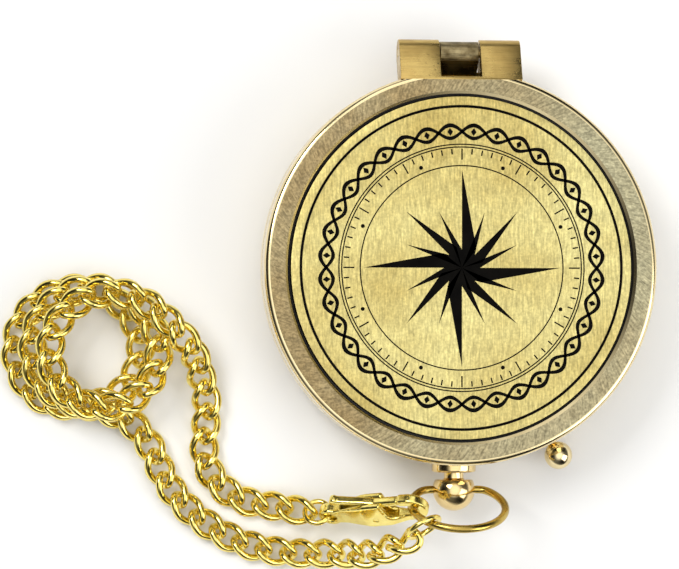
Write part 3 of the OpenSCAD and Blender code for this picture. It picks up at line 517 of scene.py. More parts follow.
def joined(meshes: Iterable[Mesh]) -> Mesh:
    """Gathers several meshes in one, and frees them.

    Args:
        meshes: The meshes.

    Returns:
        The whole.
    """
    whole = bmesh.new()
    for mesh in meshes:
        carrier = bpy.data.meshes.new("carrier")
        mesh.to_mesh(carrier)
        mesh.free()
        whole.from_mesh(carrier)
        bpy.data.meshes.remove(carrier)
    return whole


def moved(mesh: Mesh, spot: Matrix) -> Mesh:
    """The mesh itself, put in place."""
    mesh.transform(spot)
    return mesh


def cad_copy(node: str) -> Mesh:
    """Copy of a node's mesh in millimetres, its triangles joined and its flat faces made whole.

    Args:
        node: Name of the node.

    Returns:
        The copy.
    """
    mesh = bmesh.new()
    mesh.from_mesh(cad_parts[node].data)
    mesh.transform(Matrix.Scale(1 / MM, 4))
    bmesh.ops.remove_doubles(mesh, verts=mesh.verts, dist=1e-3)
    bmesh.ops.dissolve_limit(mesh, angle_limit=radians(1), verts=mesh.verts, edges=mesh.edges,
                             use_dissolve_boundaries=False)
    return mesh


def eased(mesh: Mesh, width: float) -> Mesh:
    """Rounds the edges of a mesh that are sharper than 30 degrees, and gives it back.

    Args:
        mesh: The mesh, in millimetres.
        width: Width of the rounding.

    Returns:
        The same mesh.
    """
    sharp = [edge for edge in mesh.edges if edge.is_manifold and edge.calc_face_angle(0.0) > radians(30)]
    bmesh.ops.bevel(mesh, geom=sharp, offset=width, offset_type="OFFSET", segments=3, profile=0.5,
                    affect="EDGES", clamp_overlap=True, material=-1)
    return mesh


def keep(mesh: Mesh, name: str, finishes: Sequence[Surface], zone: Zone = lambda middle, normal: 0,
         crease: float = CREASE) -> Piece:
    """Makes a finished object of a mesh.

    Args:
        mesh: The mesh, in millimetres; it is freed.
        name: Name of the piece.
        finishes: Its finishes.
        zone: Picks a face's finish from its middle and its normal.
        crease: Angle from which an edge shows as a crease, in degrees.

    Returns:
        The object, at the origin.
    """
    for face in mesh.faces:
        face.smooth = True
        face.material_index = zone(face.calc_center_median(), face.normal)
    mesh.transform(Matrix.Scale(MM, 4))
    data = bpy.data.meshes.new(name)
    mesh.to_mesh(data)
    mesh.free()
    data.set_sharp_from_angle(angle=radians(crease))
    piece = bpy.data.objects.new(name, data)
    bpy.context.scene.collection.objects.link(piece)
    for finish in finishes:
        data.materials.append(finish.material())
    return piece


def evaluated(piece: Piece) -> bpy.types.Mesh:
    """A new mesh of an object as its modifiers or its text make it."""
    return bpy.data.meshes.new_from_object(piece.evaluated_get(bpy.context.evaluated_depsgraph_get()))


def bake(piece: Piece) -> None:
    """Makes a piece's modifiers part of its mesh, and shades it smooth."""
    solid, old = evaluated(piece), piece.data
    piece.modifiers.clear()
    solid.name = piece.name
    piece.data = solid
    bpy.data.meshes.remove(old)
    for polygon in solid.polygons:
        polygon.use_smooth = True


def cut(piece: Piece, tools: Sequence[Mesh]) -> None:
    """Cuts closed shapes in millimetres out of a piece, and frees them.

    Args:
        piece: The piece.
        tools: The shapes.
    """
    tool = keep(joined(tools), "cutter", [])
    step = piece.modifiers.new("cut", "BOOLEAN")
    step.operation, step.solver, step.object = "DIFFERENCE", "EXACT", tool
    bake(piece)
    bpy.data.objects.remove(tool)
    piece.data.set_sharp_from_angle(angle=radians(CREASE))


def block(low: Sequence[float], high: Sequence[float]) -> Mesh:
    """A box between two corners, in millimetres.

    Args:
        low: Its least corner.
        high: Its greatest corner.

    Returns:
        The box.
    """
    mesh = bmesh.new()
    bmesh.ops.create_cube(mesh, size=1.0)
    size = Vector(high) - Vector(low)
    return moved(mesh, Matrix.Translation((Vector(high) + Vector(low)) / 2) @ Matrix.Diagonal((*size, 1.0)))


def rod(radius: float, start: float, end: float, spot: Matrix) -> Mesh:
    """A round rod along a placement's +Z, in millimetres.

    Args:
        radius: Its radius.
        start: Height of its lower end.
        end: Height of its upper end.
        spot: The placement.

    Returns:
        The rod.
    """
    mesh = bmesh.new()
    bmesh.ops.create_cone(mesh, cap_ends=True, segments=64, radius1=radius, radius2=radius, depth=end - start,
                          matrix=spot @ Matrix.Translation((0, 0, (start + end) / 2)))
    return mesh


def lettering(text: str, size: float) -> Mesh:
    """Dial figures as a thin solid.

    Args:
        text: The figures.
        size: Their height in millimetres.

    Returns:
        The mesh, centred on the origin and lying flat, in millimetres.
    """
    curve = bpy.data.curves.new("figures", "FONT")
    curve.body, curve.size, curve.align_x, curve.align_y = text, size / 0.7, "CENTER", "CENTER"
    curve.extrude = 0.01
    holder = bpy.data.objects.new("figures", curve)
    bpy.context.scene.collection.objects.link(holder)
    data = evaluated(holder)
    mesh = bmesh.new()
    mesh.from_mesh(data)
    bmesh.ops.remove_doubles(mesh, verts=mesh.verts, dist=1e-5)
    bpy.data.meshes.remove(data)
    bpy.data.objects.remove(holder)
    bpy.data.curves.remove(curve)
    return mesh


def flat_band(inner: float, outer: float, steps: int = ROUND_STEPS) -> Mesh:
    """A flat ring at height 0, in millimetres.

    Args:
        inner: Its inner radius.
        outer: Its outer radius.
        steps: Corners round it.

    Returns:
        The ring.
    """
    mesh = bmesh.new()
    for radius in (inner, outer):
        bmesh.ops.create_circle(mesh, cap_ends=False, segments=steps, radius=radius)
    bmesh.ops.bridge_loops(mesh, edges=list(mesh.edges))
    return mesh


def flat_spot(radius: float, corners: int, stretch: Point, spot: Matrix) -> Mesh:
    """A flat many-cornered spot, stretched and placed, in millimetres.

    Args:
        radius: Its radius.
        corners: Number of its corners.
        stretch: Stretch along X and Y.
        spot: Its placement.

    Returns:
        The spot.
    """
    mesh = bmesh.new()
    bmesh.ops.create_circle(mesh, cap_ends=True, segments=corners, radius=radius)
    return moved(mesh, spot @ Matrix.Diagonal((*stretch, 1.0, 1.0)))


def spun(turn: float, reach: float) -> Matrix:
    """Placement at a distance from the middle, turned so that its +Y points outwards."""
    return Matrix.Rotation(-radians(turn), 4, "Z") @ Matrix.Translation((0, reach, 0))


def ticks(top: float, half_w: float, long: float, short: float) -> list[Mesh]:
    """A ring of flat ticks, one to every five degrees, each sixth of them a long one.

    Args:
        top: Reach of their outer ends.
        half_w: Half their width.
        long: Half the length of the long ones.
        short: Half the length of the others.

    Returns:
        The ticks, in millimetres.
    """
    made = []
    for index in range(72):
        half = short if index % 6 else long
        mesh = bmesh.new()
        bmesh.ops.create_grid(mesh, x_segments=1, y_segments=1, size=1.0)
        made.append(moved(mesh, spun(index * 5, top - half) @ Matrix.Diagonal((half_w, half, 1, 1))))
    return made


class Ray(NamedTuple):
    """A set of a star's rays.

    Attributes:
        first: Direction of the first ray, in degrees from +Y.
        count: Number of rays.
        length: Reach of their tips, in millimetres.
        half: Angle between a ray's middle and its foot, in degrees.
        waist: Reach of the feet.
        line: Width of the outline of their pale halves.
    """

    first: float
    count: int
    length: float
    half: float
    waist: float
    line: float

    def draw(self) -> list[Mesh]:
        """Draws the rays flat, one half of each filled and the other outlined.

        Returns:
            Their halves, in millimetres.
        """
        made = []
        for index in range(2 * self.count):
            side = -1 if index % 2 else 1
            foot = radians(self.half) * side
            mesh = bmesh.new()
            mesh.faces.new([mesh.verts.new(place) for place in (
                (0, 0, 0), (self.waist * sin(foot), self.waist * cos(foot), 0), (0, self.length, 0))])
            mesh.transform(spun(self.first + 360 / self.count * (index // 2), 0.0))
            if side < 0:
                inside = list(mesh.faces)
                bmesh.ops.inset_individual(mesh, faces=inside, thickness=self.line, use_even_offset=True)
                bmesh.ops.delete(mesh, geom=inside, context="FACES")
            made.append(mesh)
        return made


def raised(shapes: Iterable[Mesh], low: float, high: float) -> Mesh:
    """Makes flat shapes at height 0 into thin solids between two heights, in one mesh.

    Args:
        shapes: The flat shapes; they are freed.
        low: Lower height.
        high: Upper height.

    Returns:
        The solids.
    """
    mesh = joined(shapes)
    bmesh.ops.recalc_face_normals(mesh, faces=mesh.faces)
    mesh.transform(Matrix.Translation((0, 0, low)))
    grown = bmesh.ops.extrude_face_region(mesh, geom=list(mesh.faces), use_keep_orig=True)["geom"]
    bmesh.ops.translate(mesh, vec=(0, 0, high - low), verts=new_verts(grown))
    bmesh.ops.recalc_face_normals(mesh, faces=mesh.faces)
    return mesh


class Bend(NamedTuple):
    """Two bodies that a piece joins, and two of its points in metres."""

    first: str
    second: str
    start: Sequence[float]
    end: Sequence[float]


Fitting = tuple[Piece, Optional[str], Optional[str], Union[str, Bend]]


class SubAssembly:
    """Pieces that belong together."""

    def fittings(self) -> list[Fitting]:
        """Builds the pieces.

        Returns:
            Each piece, the node that it replaces, its slot, and the body that it follows or a Bend between two
            bodies.
        """
        raise NotImplementedError

    def build(self) -> list[Piece]:
        """Builds the pieces and puts them in the frame.

        Returns:
            The pieces.
        """
        fittings = self.fittings()
        for piece, node, slot, body in fittings:
            if node:
                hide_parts(node)
            if isinstance(body, Bend):
                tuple(body.start)
                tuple(body.end)
                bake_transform(piece)
            else:
                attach(piece, body)
        return [piece for piece, *_ in fittings]


@dataclass(frozen=True)
class CaseParts(SubAssembly):
    """The case and its crystal, in millimetres from the middle of the lower face."""

    outer_r: float = 25.0
    shoulder_z: float = 8.6
    belly_round: float = 6.4
    belly_turn: float = 36.425
    base_r: float = 23.75
    lip_r: float = 23.75
    lip_z: float = 9.0
    bay_r: float = 23.3
    crystal_z: float = 6.6
    crystal_top: float = 7.6
    crystal_gap: float = 0.1
    dial_bay_r: float = 21.6
    dial_z: float = 4.5
    works_r: float = 20.4
    works_round: float = 3.0
    works_turn: float = 88.0
    floor_z: float = 1.6
    leaf_half_w: float = 6.5
    leaf_flat: float = 23.8
    leaf_low: float = 3.7
    seat_gap: float = 0.1

    def body(self) -> Piece:
        """Builds the case with the seats of the hinge, the pendant and the knob cut into its wall.

        Returns:
            The piece.
        """
        belly = arc((self.outer_r - self.belly_round, self.belly_round), self.belly_round,
                    -self.belly_turn, 0.0, 14)
        works = arc((self.works_r - self.works_round, self.floor_z + self.works_round), self.works_round,
                    -90.0 + self.works_turn, -90.0, 14)
        steps = stepped(self.works_r, self.dial_z, self.dial_bay_r, self.crystal_z, self.bay_r, self.lip_z,
                        self.lip_r, self.shoulder_z, self.outer_r)
        points = [(0.0, self.floor_z), *reversed(works), *steps, *reversed(belly),
                  (self.base_r, 0.0), (0.0, 0.0)]
        seat = len(works) + 1
        rounds = {seat + 4: 0.1, seat + 5: 0.1, seat + 7: 0.18, len(points) - 2: 0.3}
        mesh = lathe(points, rounds, round_steps=4)

        def zone(middle: Vector, normal: Vector) -> int:
            """Painted shade on the shoulder under the lid, turned inside, polished wall."""
            radius = middle.xy.length
            # The shoulder's top, in the gap under the lid, takes painted shade.
            if middle.z > self.shoulder_z - TOUCH and self.lip_r < radius < self.outer_r - 0.2:
                return 2
            return 1 if radius < self.lip_r and middle.z > 1.0 else 0
        piece = keep(mesh, "case", [POLISHED, TURNED, PAINTED_SEAM_SHADE], zone)
        pendant, lock = PendantParts(), LockParts()
        cut(piece, [
            block((-self.leaf_half_w, self.leaf_flat, self.leaf_low), (self.leaf_half_w, CLEAR, 20)),
            rod(pendant.collar_r + self.seat_gap, pendant.collar_start, CLEAR, outwards(-90, pendant.axis_z)),
            rod(lock.wide_r + self.seat_gap, lock.seat, CLEAR, outwards(lock.turn, lock.axis_z))])
        return piece

    def glass(self) -> Piece:
        """Builds the crystal with eased edges."""
        points = stepped(0.0, self.crystal_z, self.bay_r - self.crystal_gap, self.crystal_top, 0.0)
        return keep(lathe(points, {1: 0.08, 2: 0.22}, round_steps=3), "crystal_glass", [GLASS])

    def fittings(self) -> list[Fitting]:
        """Builds the case and its crystal."""
        return [(self.body(), "case_bowl", "polished_brass", "case"),
                (self.glass(), "crystal", "crystal_glass", "case")]


@dataclass(frozen=True)
class LidParts(SubAssembly):
    """The lid's rim, plate and black engraving, in millimetres from the middle of the case's lower face."""

    outer_r: float = 25.0
    low_z: float = 8.7
    top_z: float = 13.2
    edge_round: float = 0.7
    skirt_r: float = 24.0
    skirt_top: float = 11.3
    bay_r: float = 22.0
    bezel_w: float = 0.35
    seat_r: float = 21.0
    plate_z: float = 12.2
    plate_top: float = 12.9
    plate_r: float = 21.75
    plate_round: float = 0.12
    line_r: float = 20.4
    line_w: float = 0.36
    line_gap: float = 0.02
    groove: float = 0.1
    fill_low: float = 0.02
    fill_high: float = 0.012
    notch_half_w: float = 7.8
    notch_y: float = 23.8
    rope: Point = (16.97, 17.47)
    rope_waves: int = 18
    rope_swing: float = 0.048
    rings: tuple[Point, ...] = ((15.52, 15.68), (15.17, 15.33), (12.82, 12.98))
    diamond_r: float = 0.4
    diamond_stretch: Point = (0.9, 1.3)
    tick_sizes: Four = (15.05, 0.09, 0.7, 0.35)
    dot_r: float = 0.26
    dot_reach: float = 13.62
    rays: tuple[Ray, ...] = (Ray(22.5, 8, 7.6, 22.5, 2.3, 0.09), Ray(45, 4, 10.0, 30, 2.7, 0.1),
                             Ray(0, 4, 12.5, 38, 3.0, 0.12))

    def rim(self) -> Piece:
        """Builds the rim with its polished edge, satin flat, bright chamfer and painted shade in its seam.

        Returns:
            The piece.
        """
        points = [*stepped(self.skirt_r, self.low_z, self.outer_r, self.top_z, self.bay_r + self.bezel_w),
                  (self.bay_r, self.top_z - self.bezel_w),
                  *stepped(self.bay_r, self.plate_z, self.seat_r, self.skirt_top, self.skirt_r)]
        mesh = lathe(points, {1: 0.12, 2: self.edge_round}, closed=True, round_steps=7)

        def zone(middle: Vector, normal: Vector) -> int:
            """Painted shade in the seam, satin flat, turned inside, polished edge."""
            radius = middle.xy.length
            # The bay's wall above the plate takes painted shade.
            if radius < self.bay_r + TOUCH and middle.z > self.plate_z - TOUCH:
                return 2
            if normal.z > 0.98 and radius < self.outer_r - self.edge_round + 0.05:
                return 1
            return 3 if radius < self.skirt_r + TOUCH and middle.z < self.plate_z - TOUCH else 0
        piece = keep(mesh, "lid_rim_turned", [POLISHED, SATIN_RIM, PAINTED_SEAM_SHADE, TURNED], zone)
        cut(piece, [block((-self.notch_half_w, self.notch_y, 0), (self.notch_half_w, CLEAR, 20))])
        return piece

    def plate(self) -> Piece:
        """Builds the brushed plate with its engraved circle and painted shade on its edge.

        Returns:
            The piece.
        """
        low, high = self.line_r - self.line_w / 2, self.line_r + self.line_w / 2
        points = stepped(0.0, self.plate_z, self.plate_r, self.plate_top, high, self.plate_top - self.groove,
                         low, self.plate_top, 0.0)

        def zone(middle: Vector, normal: Vector) -> int:
            """Brushed upper face, painted shade on the edge, turned lower face."""
            if middle.z < self.plate_z + TOUCH:
                return 1
            # The plate's rounded edge, in the gap to the rim, takes painted shade.
            return 2 if middle.xy.length > self.plate_r - self.plate_round - TOUCH else 0
        mesh = lathe(points, {2: self.plate_round}, round_steps=3)
        return keep(mesh, "lid_plate_brushed", [PLATE, TURNED, BLACK_FILL_AND_EDGE_SHADE], zone)

    def engraving(self) -> Piece:
        """Builds the black engraving: a circle, a rope border, a ring of ticks and a many-pointed star.

        Returns:
            The piece.
        """
        half = self.line_w / 2 - self.line_gap
        flat = [flat_band(self.line_r - half, self.line_r + half)]
        for phase in (0.0, pi):
            band = flat_band(*self.rope, 2 * ROUND_STEPS)
            for vert in band.verts:
                turn = atan2(vert.co.y, vert.co.x)
                vert.co *= 1 + self.rope_swing * sin(self.rope_waves * turn + phase)
            flat.append(band)
        count, reach = 2 * self.rope_waves, sum(self.rope) / 2
        flat += [flat_spot(self.diamond_r, 4, self.diamond_stretch, spun((index + 0.5) * 360 / count, reach))
                 for index in range(count)]
        flat += [flat_band(*ring) for ring in self.rings]
        flat += ticks(*self.tick_sizes)
        flat += [flat_spot(self.dot_r, 12, (1, 1), spun(index * 45 + 22.5, self.dot_reach))
                 for index in range(8)]
        flat += [half_ray for ray in self.rays for half_ray in ray.draw()]
        mesh = raised(flat, self.plate_top - self.fill_low, self.plate_top + self.fill_high)
        return keep(mesh, "lid_engraving", [BLACK_FILL_AND_EDGE_SHADE], crease=20.0)

    def fittings(self) -> list[Fitting]:
        """Builds the lid's three pieces."""
        return [(self.rim(), "lid_rim", "satin_brass", "lid"),
                (self.plate(), "lid_plate", "brushed_brass", "lid"), (self.engraving(), None, None, "lid")]


@dataclass(frozen=True)
class HingeParts(SubAssembly):
    """The two leaves of the hinge and its pin, in millimetres."""

    axis_y: float = 27.4
    axis_z: float = 9.5
    pin_r: float = 0.55
    half_w: float = 7.75
    knuckle_half_w: float = 2.45
    knuckle_y: float = 25.2
    knuckle_low: float = 5.0
    ease: float = 0.16

    def lid_leaf(self) -> Piece:
        """Builds the lid's leaf with its outer knuckles."""
        return keep(eased(cad_copy("lid_hinge_leaf"), self.ease), "hinge_lid_leaf", [SATIN_HINGE], crease=40.0)

    def case_leaf(self) -> Piece:
        """Builds the case's leaf with its rough middle knuckle.

        Returns:
            The piece.
        """
        def zone(middle: Vector, normal: Vector) -> int:
            """Sawn knuckle, satin foot."""
            sawn = abs(middle.x) < self.knuckle_half_w + TOUCH
            return int(sawn and middle.z > self.knuckle_low and middle.y > self.knuckle_y)
        mesh = eased(cad_copy("case_hinge_leaf"), self.ease / 2)
        return keep(mesh, "hinge_case_leaf", [SATIN_HINGE, SAWN], zone, 40.0)

    def pin(self) -> Piece:
        """Builds the pin with domed ends.

        Returns:
            The piece.
        """
        points = stepped(0.0, -self.half_w, self.pin_r, self.half_w, 0.0)
        mesh = lathe(points, {1: 0.2, 2: 0.2}, steps=48, round_steps=4)
        mesh.transform(Matrix.Translation((0, self.axis_y, 0)) @ outwards(0, self.axis_z))
        return keep(mesh, "hinge_pin_turned", [POLISHED])

    def fittings(self) -> list[Fitting]:
        """Builds the hinge's three pieces."""
        return [(self.lid_leaf(), "lid_hinge_leaf", "satin_brass", "lid"),
                (self.case_leaf(), "case_hinge_leaf", "satin_brass", "case"),
                (self.pin(), "hinge_pin", "satin_brass", "case")]


@dataclass(frozen=True)
class DialParts(SubAssembly):
    """The print on the dial, in millimetres from the middle of the case's lower face."""

    face_z: float = 4.8
    print_t: float = 0.012
    bands: tuple[Point, ...] = ((20.14, 20.26), (18.54, 18.66), (9.9, 10.05), (5.6, 5.7))
    tick_sizes: Four = (20.2, 0.07, 0.8, 0.45)
    figure_size: float = 1.25
    figure_r: float = 17.4
    letter_size: float = 2.4
    letter_r: float = 16.6
    rays: tuple[Ray, ...] = (Ray(0, 4, 14.2, 40, 3.2, 0.12), Ray(45, 4, 9.6, 34, 2.6, 0.12))

    def lines(self) -> Piece:
        """Prints the ring of degrees and the star.

        Returns:
            The piece.
        """
        flat = [flat_band(*band) for band in self.bands] + ticks(*self.tick_sizes)
        flat += [half_ray for ray in self.rays for half_ray in ray.draw()]
        return keep(raised(flat, self.face_z, self.face_z + self.print_t), "dial_rose", [PRINT], crease=20.0)

    def figures(self) -> Piece:
        """Prints the figures of the degrees and the letters of the four quarters.

        Returns:
            The piece.
        """
        found = [moved(lettering(str(turn), self.figure_size), spun(turn, self.figure_r))
                 for turn in range(0, 360, 30) if turn % 90]
        found += [moved(lettering(letter, self.letter_size), spun(index * 90, self.letter_r))
                  for index, letter in enumerate("NESW")]
        mesh = moved(joined(found), Matrix.Translation((0, 0, self.face_z + self.print_t / 2)))
        return keep(mesh, "dial_figures", [PRINT], crease=20.0)

    def fittings(self) -> list[Fitting]:
        """Builds the dial's print."""
        return [(piece, None, "dial_enamel", "case") for piece in (self.lines(), self.figures())]


@dataclass(frozen=True)
class NeedleParts(SubAssembly):
    """The needle, half blued and half bright, in millimetres."""

    low_z: float = 5.5
    thick: float = 0.25
    side_t: float = 0.1
    half_l: float = 17.0
    half_w: float = 1.6
    roof_w: float = 0.45

    def needle(self) -> Piece:
        """Builds the needle as a roofed lozenge.

        Returns:
            The piece.
        """
        mesh = bmesh.new()
        bmesh.ops.create_circle(mesh, cap_ends=True, segments=4, radius=1.0)
        mesh.transform(Matrix.Translation((0, 0, self.low_z))
                       @ Matrix.Diagonal((self.half_w, self.half_l, 1, 1)))
        grown = bmesh.ops.extrude_face_region(mesh, geom=list(mesh.faces), use_keep_orig=True)["geom"]
        bmesh.ops.translate(mesh, vec=(0, 0, self.side_t), verts=new_verts(grown))
        top = [face for face in mesh.faces if face.calc_center_median().z > self.low_z + self.side_t - TOUCH
               and abs(face.normal.z) > 0.5]
        bmesh.ops.inset_region(mesh, faces=top, thickness=self.roof_w, depth=0.0, use_even_offset=True)
        bmesh.ops.translate(mesh, vec=(0, 0, self.thick - self.side_t),
                            verts=list({vert for face in top for vert in face.verts}))
        bmesh.ops.bisect_plane(mesh, geom=[*mesh.verts, *mesh.edges, *mesh.faces], plane_co=(0, 0, 0),
                               plane_no=(0, 1, 0))
        bmesh.ops.recalc_face_normals(mesh, faces=mesh.faces)
        return keep(mesh, "needle_roofed", [BLUED, SILVERED], lambda middle, normal: int(middle.y <= 0), 5.0)

    def fittings(self) -> list[Fitting]:
        """Builds the needle."""
        return [(self.needle(), "needle", "blued_steel", "needle")]


@dataclass(frozen=True)
class LockParts(SubAssembly):
    """The knob of the needle's lock and its stepped bush, in millimetres from the middle."""

    turn: float = -60.0
    axis_z: float = 3.9
    ball_reach: float = 27.7
    ball_r: float = 1.8
    stem_r: float = 0.5
    stem_start: float = 18.6
    stem_fillet: float = 0.12
    tip_reach: float = 17.4
    tip_r: float = 0.3
    seat: float = 23.15
    wide_r: float = 2.0
    wide_l: float = 1.75
    narrow_r: float = 1.7
    narrow_l: float = 0.9
    neck_r: float = 1.1
    neck_l: float = 1.2
    bore_gap: float = 0.03

    def knob(self) -> Piece:
        """Builds the knob: its tip, stem, fillet and ball.

        Returns:
            The piece.
        """
        ball = ball_end(self.ball_reach, self.ball_r, self.stem_r + self.stem_fillet)
        mesh = lathe([(0.0, self.tip_reach), (self.tip_r, self.tip_reach), (self.stem_r, self.stem_start),
                      (self.stem_r, ball[0][1] - self.stem_fillet), *ball], {}, steps=64)
        return keep(moved(mesh, outwards(self.turn, self.axis_z)), "lock_knob_turned", [POLISHED])

    def bush(self) -> Piece:
        """Builds the stepped bush with rounded steps.

        Returns:
            The piece.
        """
        step, bore = self.seat + self.wide_l, self.stem_r + self.bore_gap
        points = stepped(bore, self.seat - self.neck_l, self.neck_r, self.seat, self.wide_r, step,
                         self.narrow_r, step + self.narrow_l, bore)
        mesh = lathe(points, {4: 0.18, 6: 0.25}, closed=True, steps=96, round_steps=4)
        return keep(moved(mesh, outwards(self.turn, self.axis_z)), "knob_bush_turned", [POLISHED])

    def fittings(self) -> list[Fitting]:
        """Builds the lock's two outer pieces."""
        return [(self.knob(), "lock_knob", "polished_brass", "knob"),
                (self.bush(), "knob_bush", "polished_brass", "case")]


@dataclass(frozen=True)
class PendantParts(SubAssembly):
    """The pendant's collar and ball, and the bow that swings in it, in millimetres from the middle."""

    axis_z: float = 5.4
    collar_start: float = 23.85
    collar_l: float = 2.2
    collar_r: float = 2.83
    collar_bore: float = 1.03
    collar_hollow: float = 0.06
    collar_flat: float = 0.55
    neck_r: float = 1.25
    neck_start: float = 25.95
    neck_foot: Point = (0.1, 0.3)
    neck_top: Point = (0.2, 0.2)
    screw_start: float = 22.25
    screw_r: float = 1.0
    ball_reach: float = 28.3
    ball_r: float = 2.72
    ball_cut: float = 1.3
    bore_r: float = 0.5
    bore_gap: float = 0.95
    wire_r: float = 0.5
    end_r: float = 0.47
    straight: Four = (1.0, 1.6, 2.72, 2.86)
    thin_to: float = 2.79
    bend_out: float = 3.0
    bend_r: float = 2.0
    ring_r: float = 6.0
    raise_deg: float = 65.0

    def collar(self) -> Piece:
        """Builds the collar with its hollowed face.

        Returns:
            The piece.
        """
        end = self.collar_start + self.collar_l
        points = stepped(self.collar_bore, self.collar_start, self.collar_r, end,
                         self.collar_r - self.collar_flat)
        points.append((self.collar_bore, end - self.collar_hollow))
        mesh = lathe(points, {1: 0.1, 2: 0.3}, closed=True, steps=96, round_steps=5)
        return keep(moved(mesh, outwards(-90, self.axis_z)), "pendant_collar_turned", [ROSE_BRASS])

    def ball(self) -> Piece:
        """Builds the ball with its screw, neck, flat top and the sockets of the bow.

        Returns:
            The piece.
        """
        start, end = self.neck_start, self.ball_reach - self.ball_cut
        ball = ball_end(self.ball_reach, self.ball_r, sqrt(self.ball_r ** 2 - self.ball_cut ** 2))
        points = [*stepped(0.0, self.screw_start, self.screw_r, start, self.neck_r + self.neck_foot[0]),
                  (self.neck_r, start + self.neck_foot[1]),
                  (self.neck_r, end - self.neck_top[1]), (self.neck_r + self.neck_top[0], end), *ball]
        mesh = lathe(points, {7: 0.13}, steps=96)
        piece = keep(moved(mesh, outwards(-90, self.axis_z)), "pendant_ball_turned", [ROSE_BRASS])
        across = Matrix.Translation((0, -self.ball_reach, 0)) @ outwards(0, self.axis_z)
        cut(piece, [rod(self.bore_r, self.bore_gap, 4, across), rod(self.bore_r, -4, -self.bore_gap, across)])
        return piece

    def bow_path(self) -> list[Vector]:
        """Middle line of the bow, flat in its own plane.

        Returns:
            Its points, from its right end round to its left end.
        """
        rise = self.bend_r + sqrt((self.ring_r - self.bend_r) ** 2 - self.bend_out ** 2)
        turn = degrees(atan2(rise - self.bend_r, self.bend_out))
        ends = [(out, 0.0) for out in self.straight]
        bend = arc((self.bend_out, self.bend_r), self.bend_r, -90.0, -turn, 12)
        half = [Vector((x, y, 0)) for x, y in ends + bend + arc((0.0, rise), self.ring_r, -turn, 90.0, 48)[1:]]
        return half + [Vector((-point.x, point.y, 0)) for point in reversed(half[:-1])]

    def bow(self) -> Piece:
        """Builds the bow's wire ring.

        Returns:
            The piece.
        """
        path = self.bow_path()
        mesh = sweep(path, [Vector((0, 0, 1))] * len(path), self.wire_r, 24, False)
        for vert in mesh.verts:
            if vert.co.y < self.bend_r / 2 and abs(vert.co.x) < self.thin_to:
                vert.co.yz *= self.end_r / self.wire_r
        lean = radians(self.raise_deg)
        mesh.transform(on_axes(Vector((0, -self.ball_reach, self.axis_z)), Vector((1, 0, 0)),
                               Vector((0, -cos(lean), sin(lean))),
                               Vector((0, -sin(lean), -cos(lean)))))
        return keep(mesh, "bow_wire_ring", [BOW_WIRE], crease=50.0)

    def fittings(self) -> list[Fitting]:
        """Builds the pendant's three pieces."""
        return [(self.collar(), "pendant_collar", "polished_brass", "case"),
                (self.ball(), "pendant_ball", "polished_brass", "case"),
                (self.bow(), "bow", "olive_brass", "bow")]


@dataclass(frozen=True)
class ClaspParts(SubAssembly):
    """The clasp, its gate and the gate's spring, in millimetres."""

    voxel: float = 0.07
    smoothing: int = 44
    swell: float = 0.1

    def cast(self, node: str, name: str) -> Piece:
        """Builds a cast piece: its node's shape, with all its edges softened.

        Args:
            node: The node whose shape it has.
            name: Name of the piece.

        Returns:
            The piece.
        """
        piece = keep(cad_copy(node), name, [CAST_GOLD])
        remesh = piece.modifiers.new("even", "REMESH")
        remesh.mode, remesh.voxel_size, remesh.use_smooth_shade = "VOXEL", self.voxel * MM, True
        smooth = piece.modifiers.new("soften", "SMOOTH")
        smooth.factor, smooth.iterations = 0.5, self.smoothing
        swell = piece.modifiers.new("swell", "DISPLACE")
        swell.strength, swell.mid_level = self.swell * MM, 0.0
        bake(piece)
        return piece

    def spring(self) -> tuple[Piece, Bend]:
        """Builds the gate's leaf spring.

        Returns:
            The spring, and a Bend from the bow to the gate, through its points farthest from and nearest to the
            pin.
        """
        mesh = cad_copy("clasp_spring")
        low, high = (Vector(corner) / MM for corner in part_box("clasp_pin"))
        middle = (low + high) / 2
        places = sorted((vert.co.copy() for vert in mesh.verts), key=lambda place: (place - middle).length)
        bend = Bend("bow", "gate", places[-1] * MM, places[0] * MM)
        return keep(mesh, "clasp_leaf_spring", [STEEL]), bend

    def fittings(self) -> list[Fitting]:
        """Builds the clasp's three pieces."""
        body, gate = self.cast("clasp_body", "clasp_cast"), self.cast("clasp_gate", "clasp_gate_cast")
        spring, bend = self.spring()
        return [(body, "clasp_body", "chain_gold", "bow"), (gate, "clasp_gate", "chain_gold", "gate"),
                (spring, "clasp_spring", "steel", bend)]


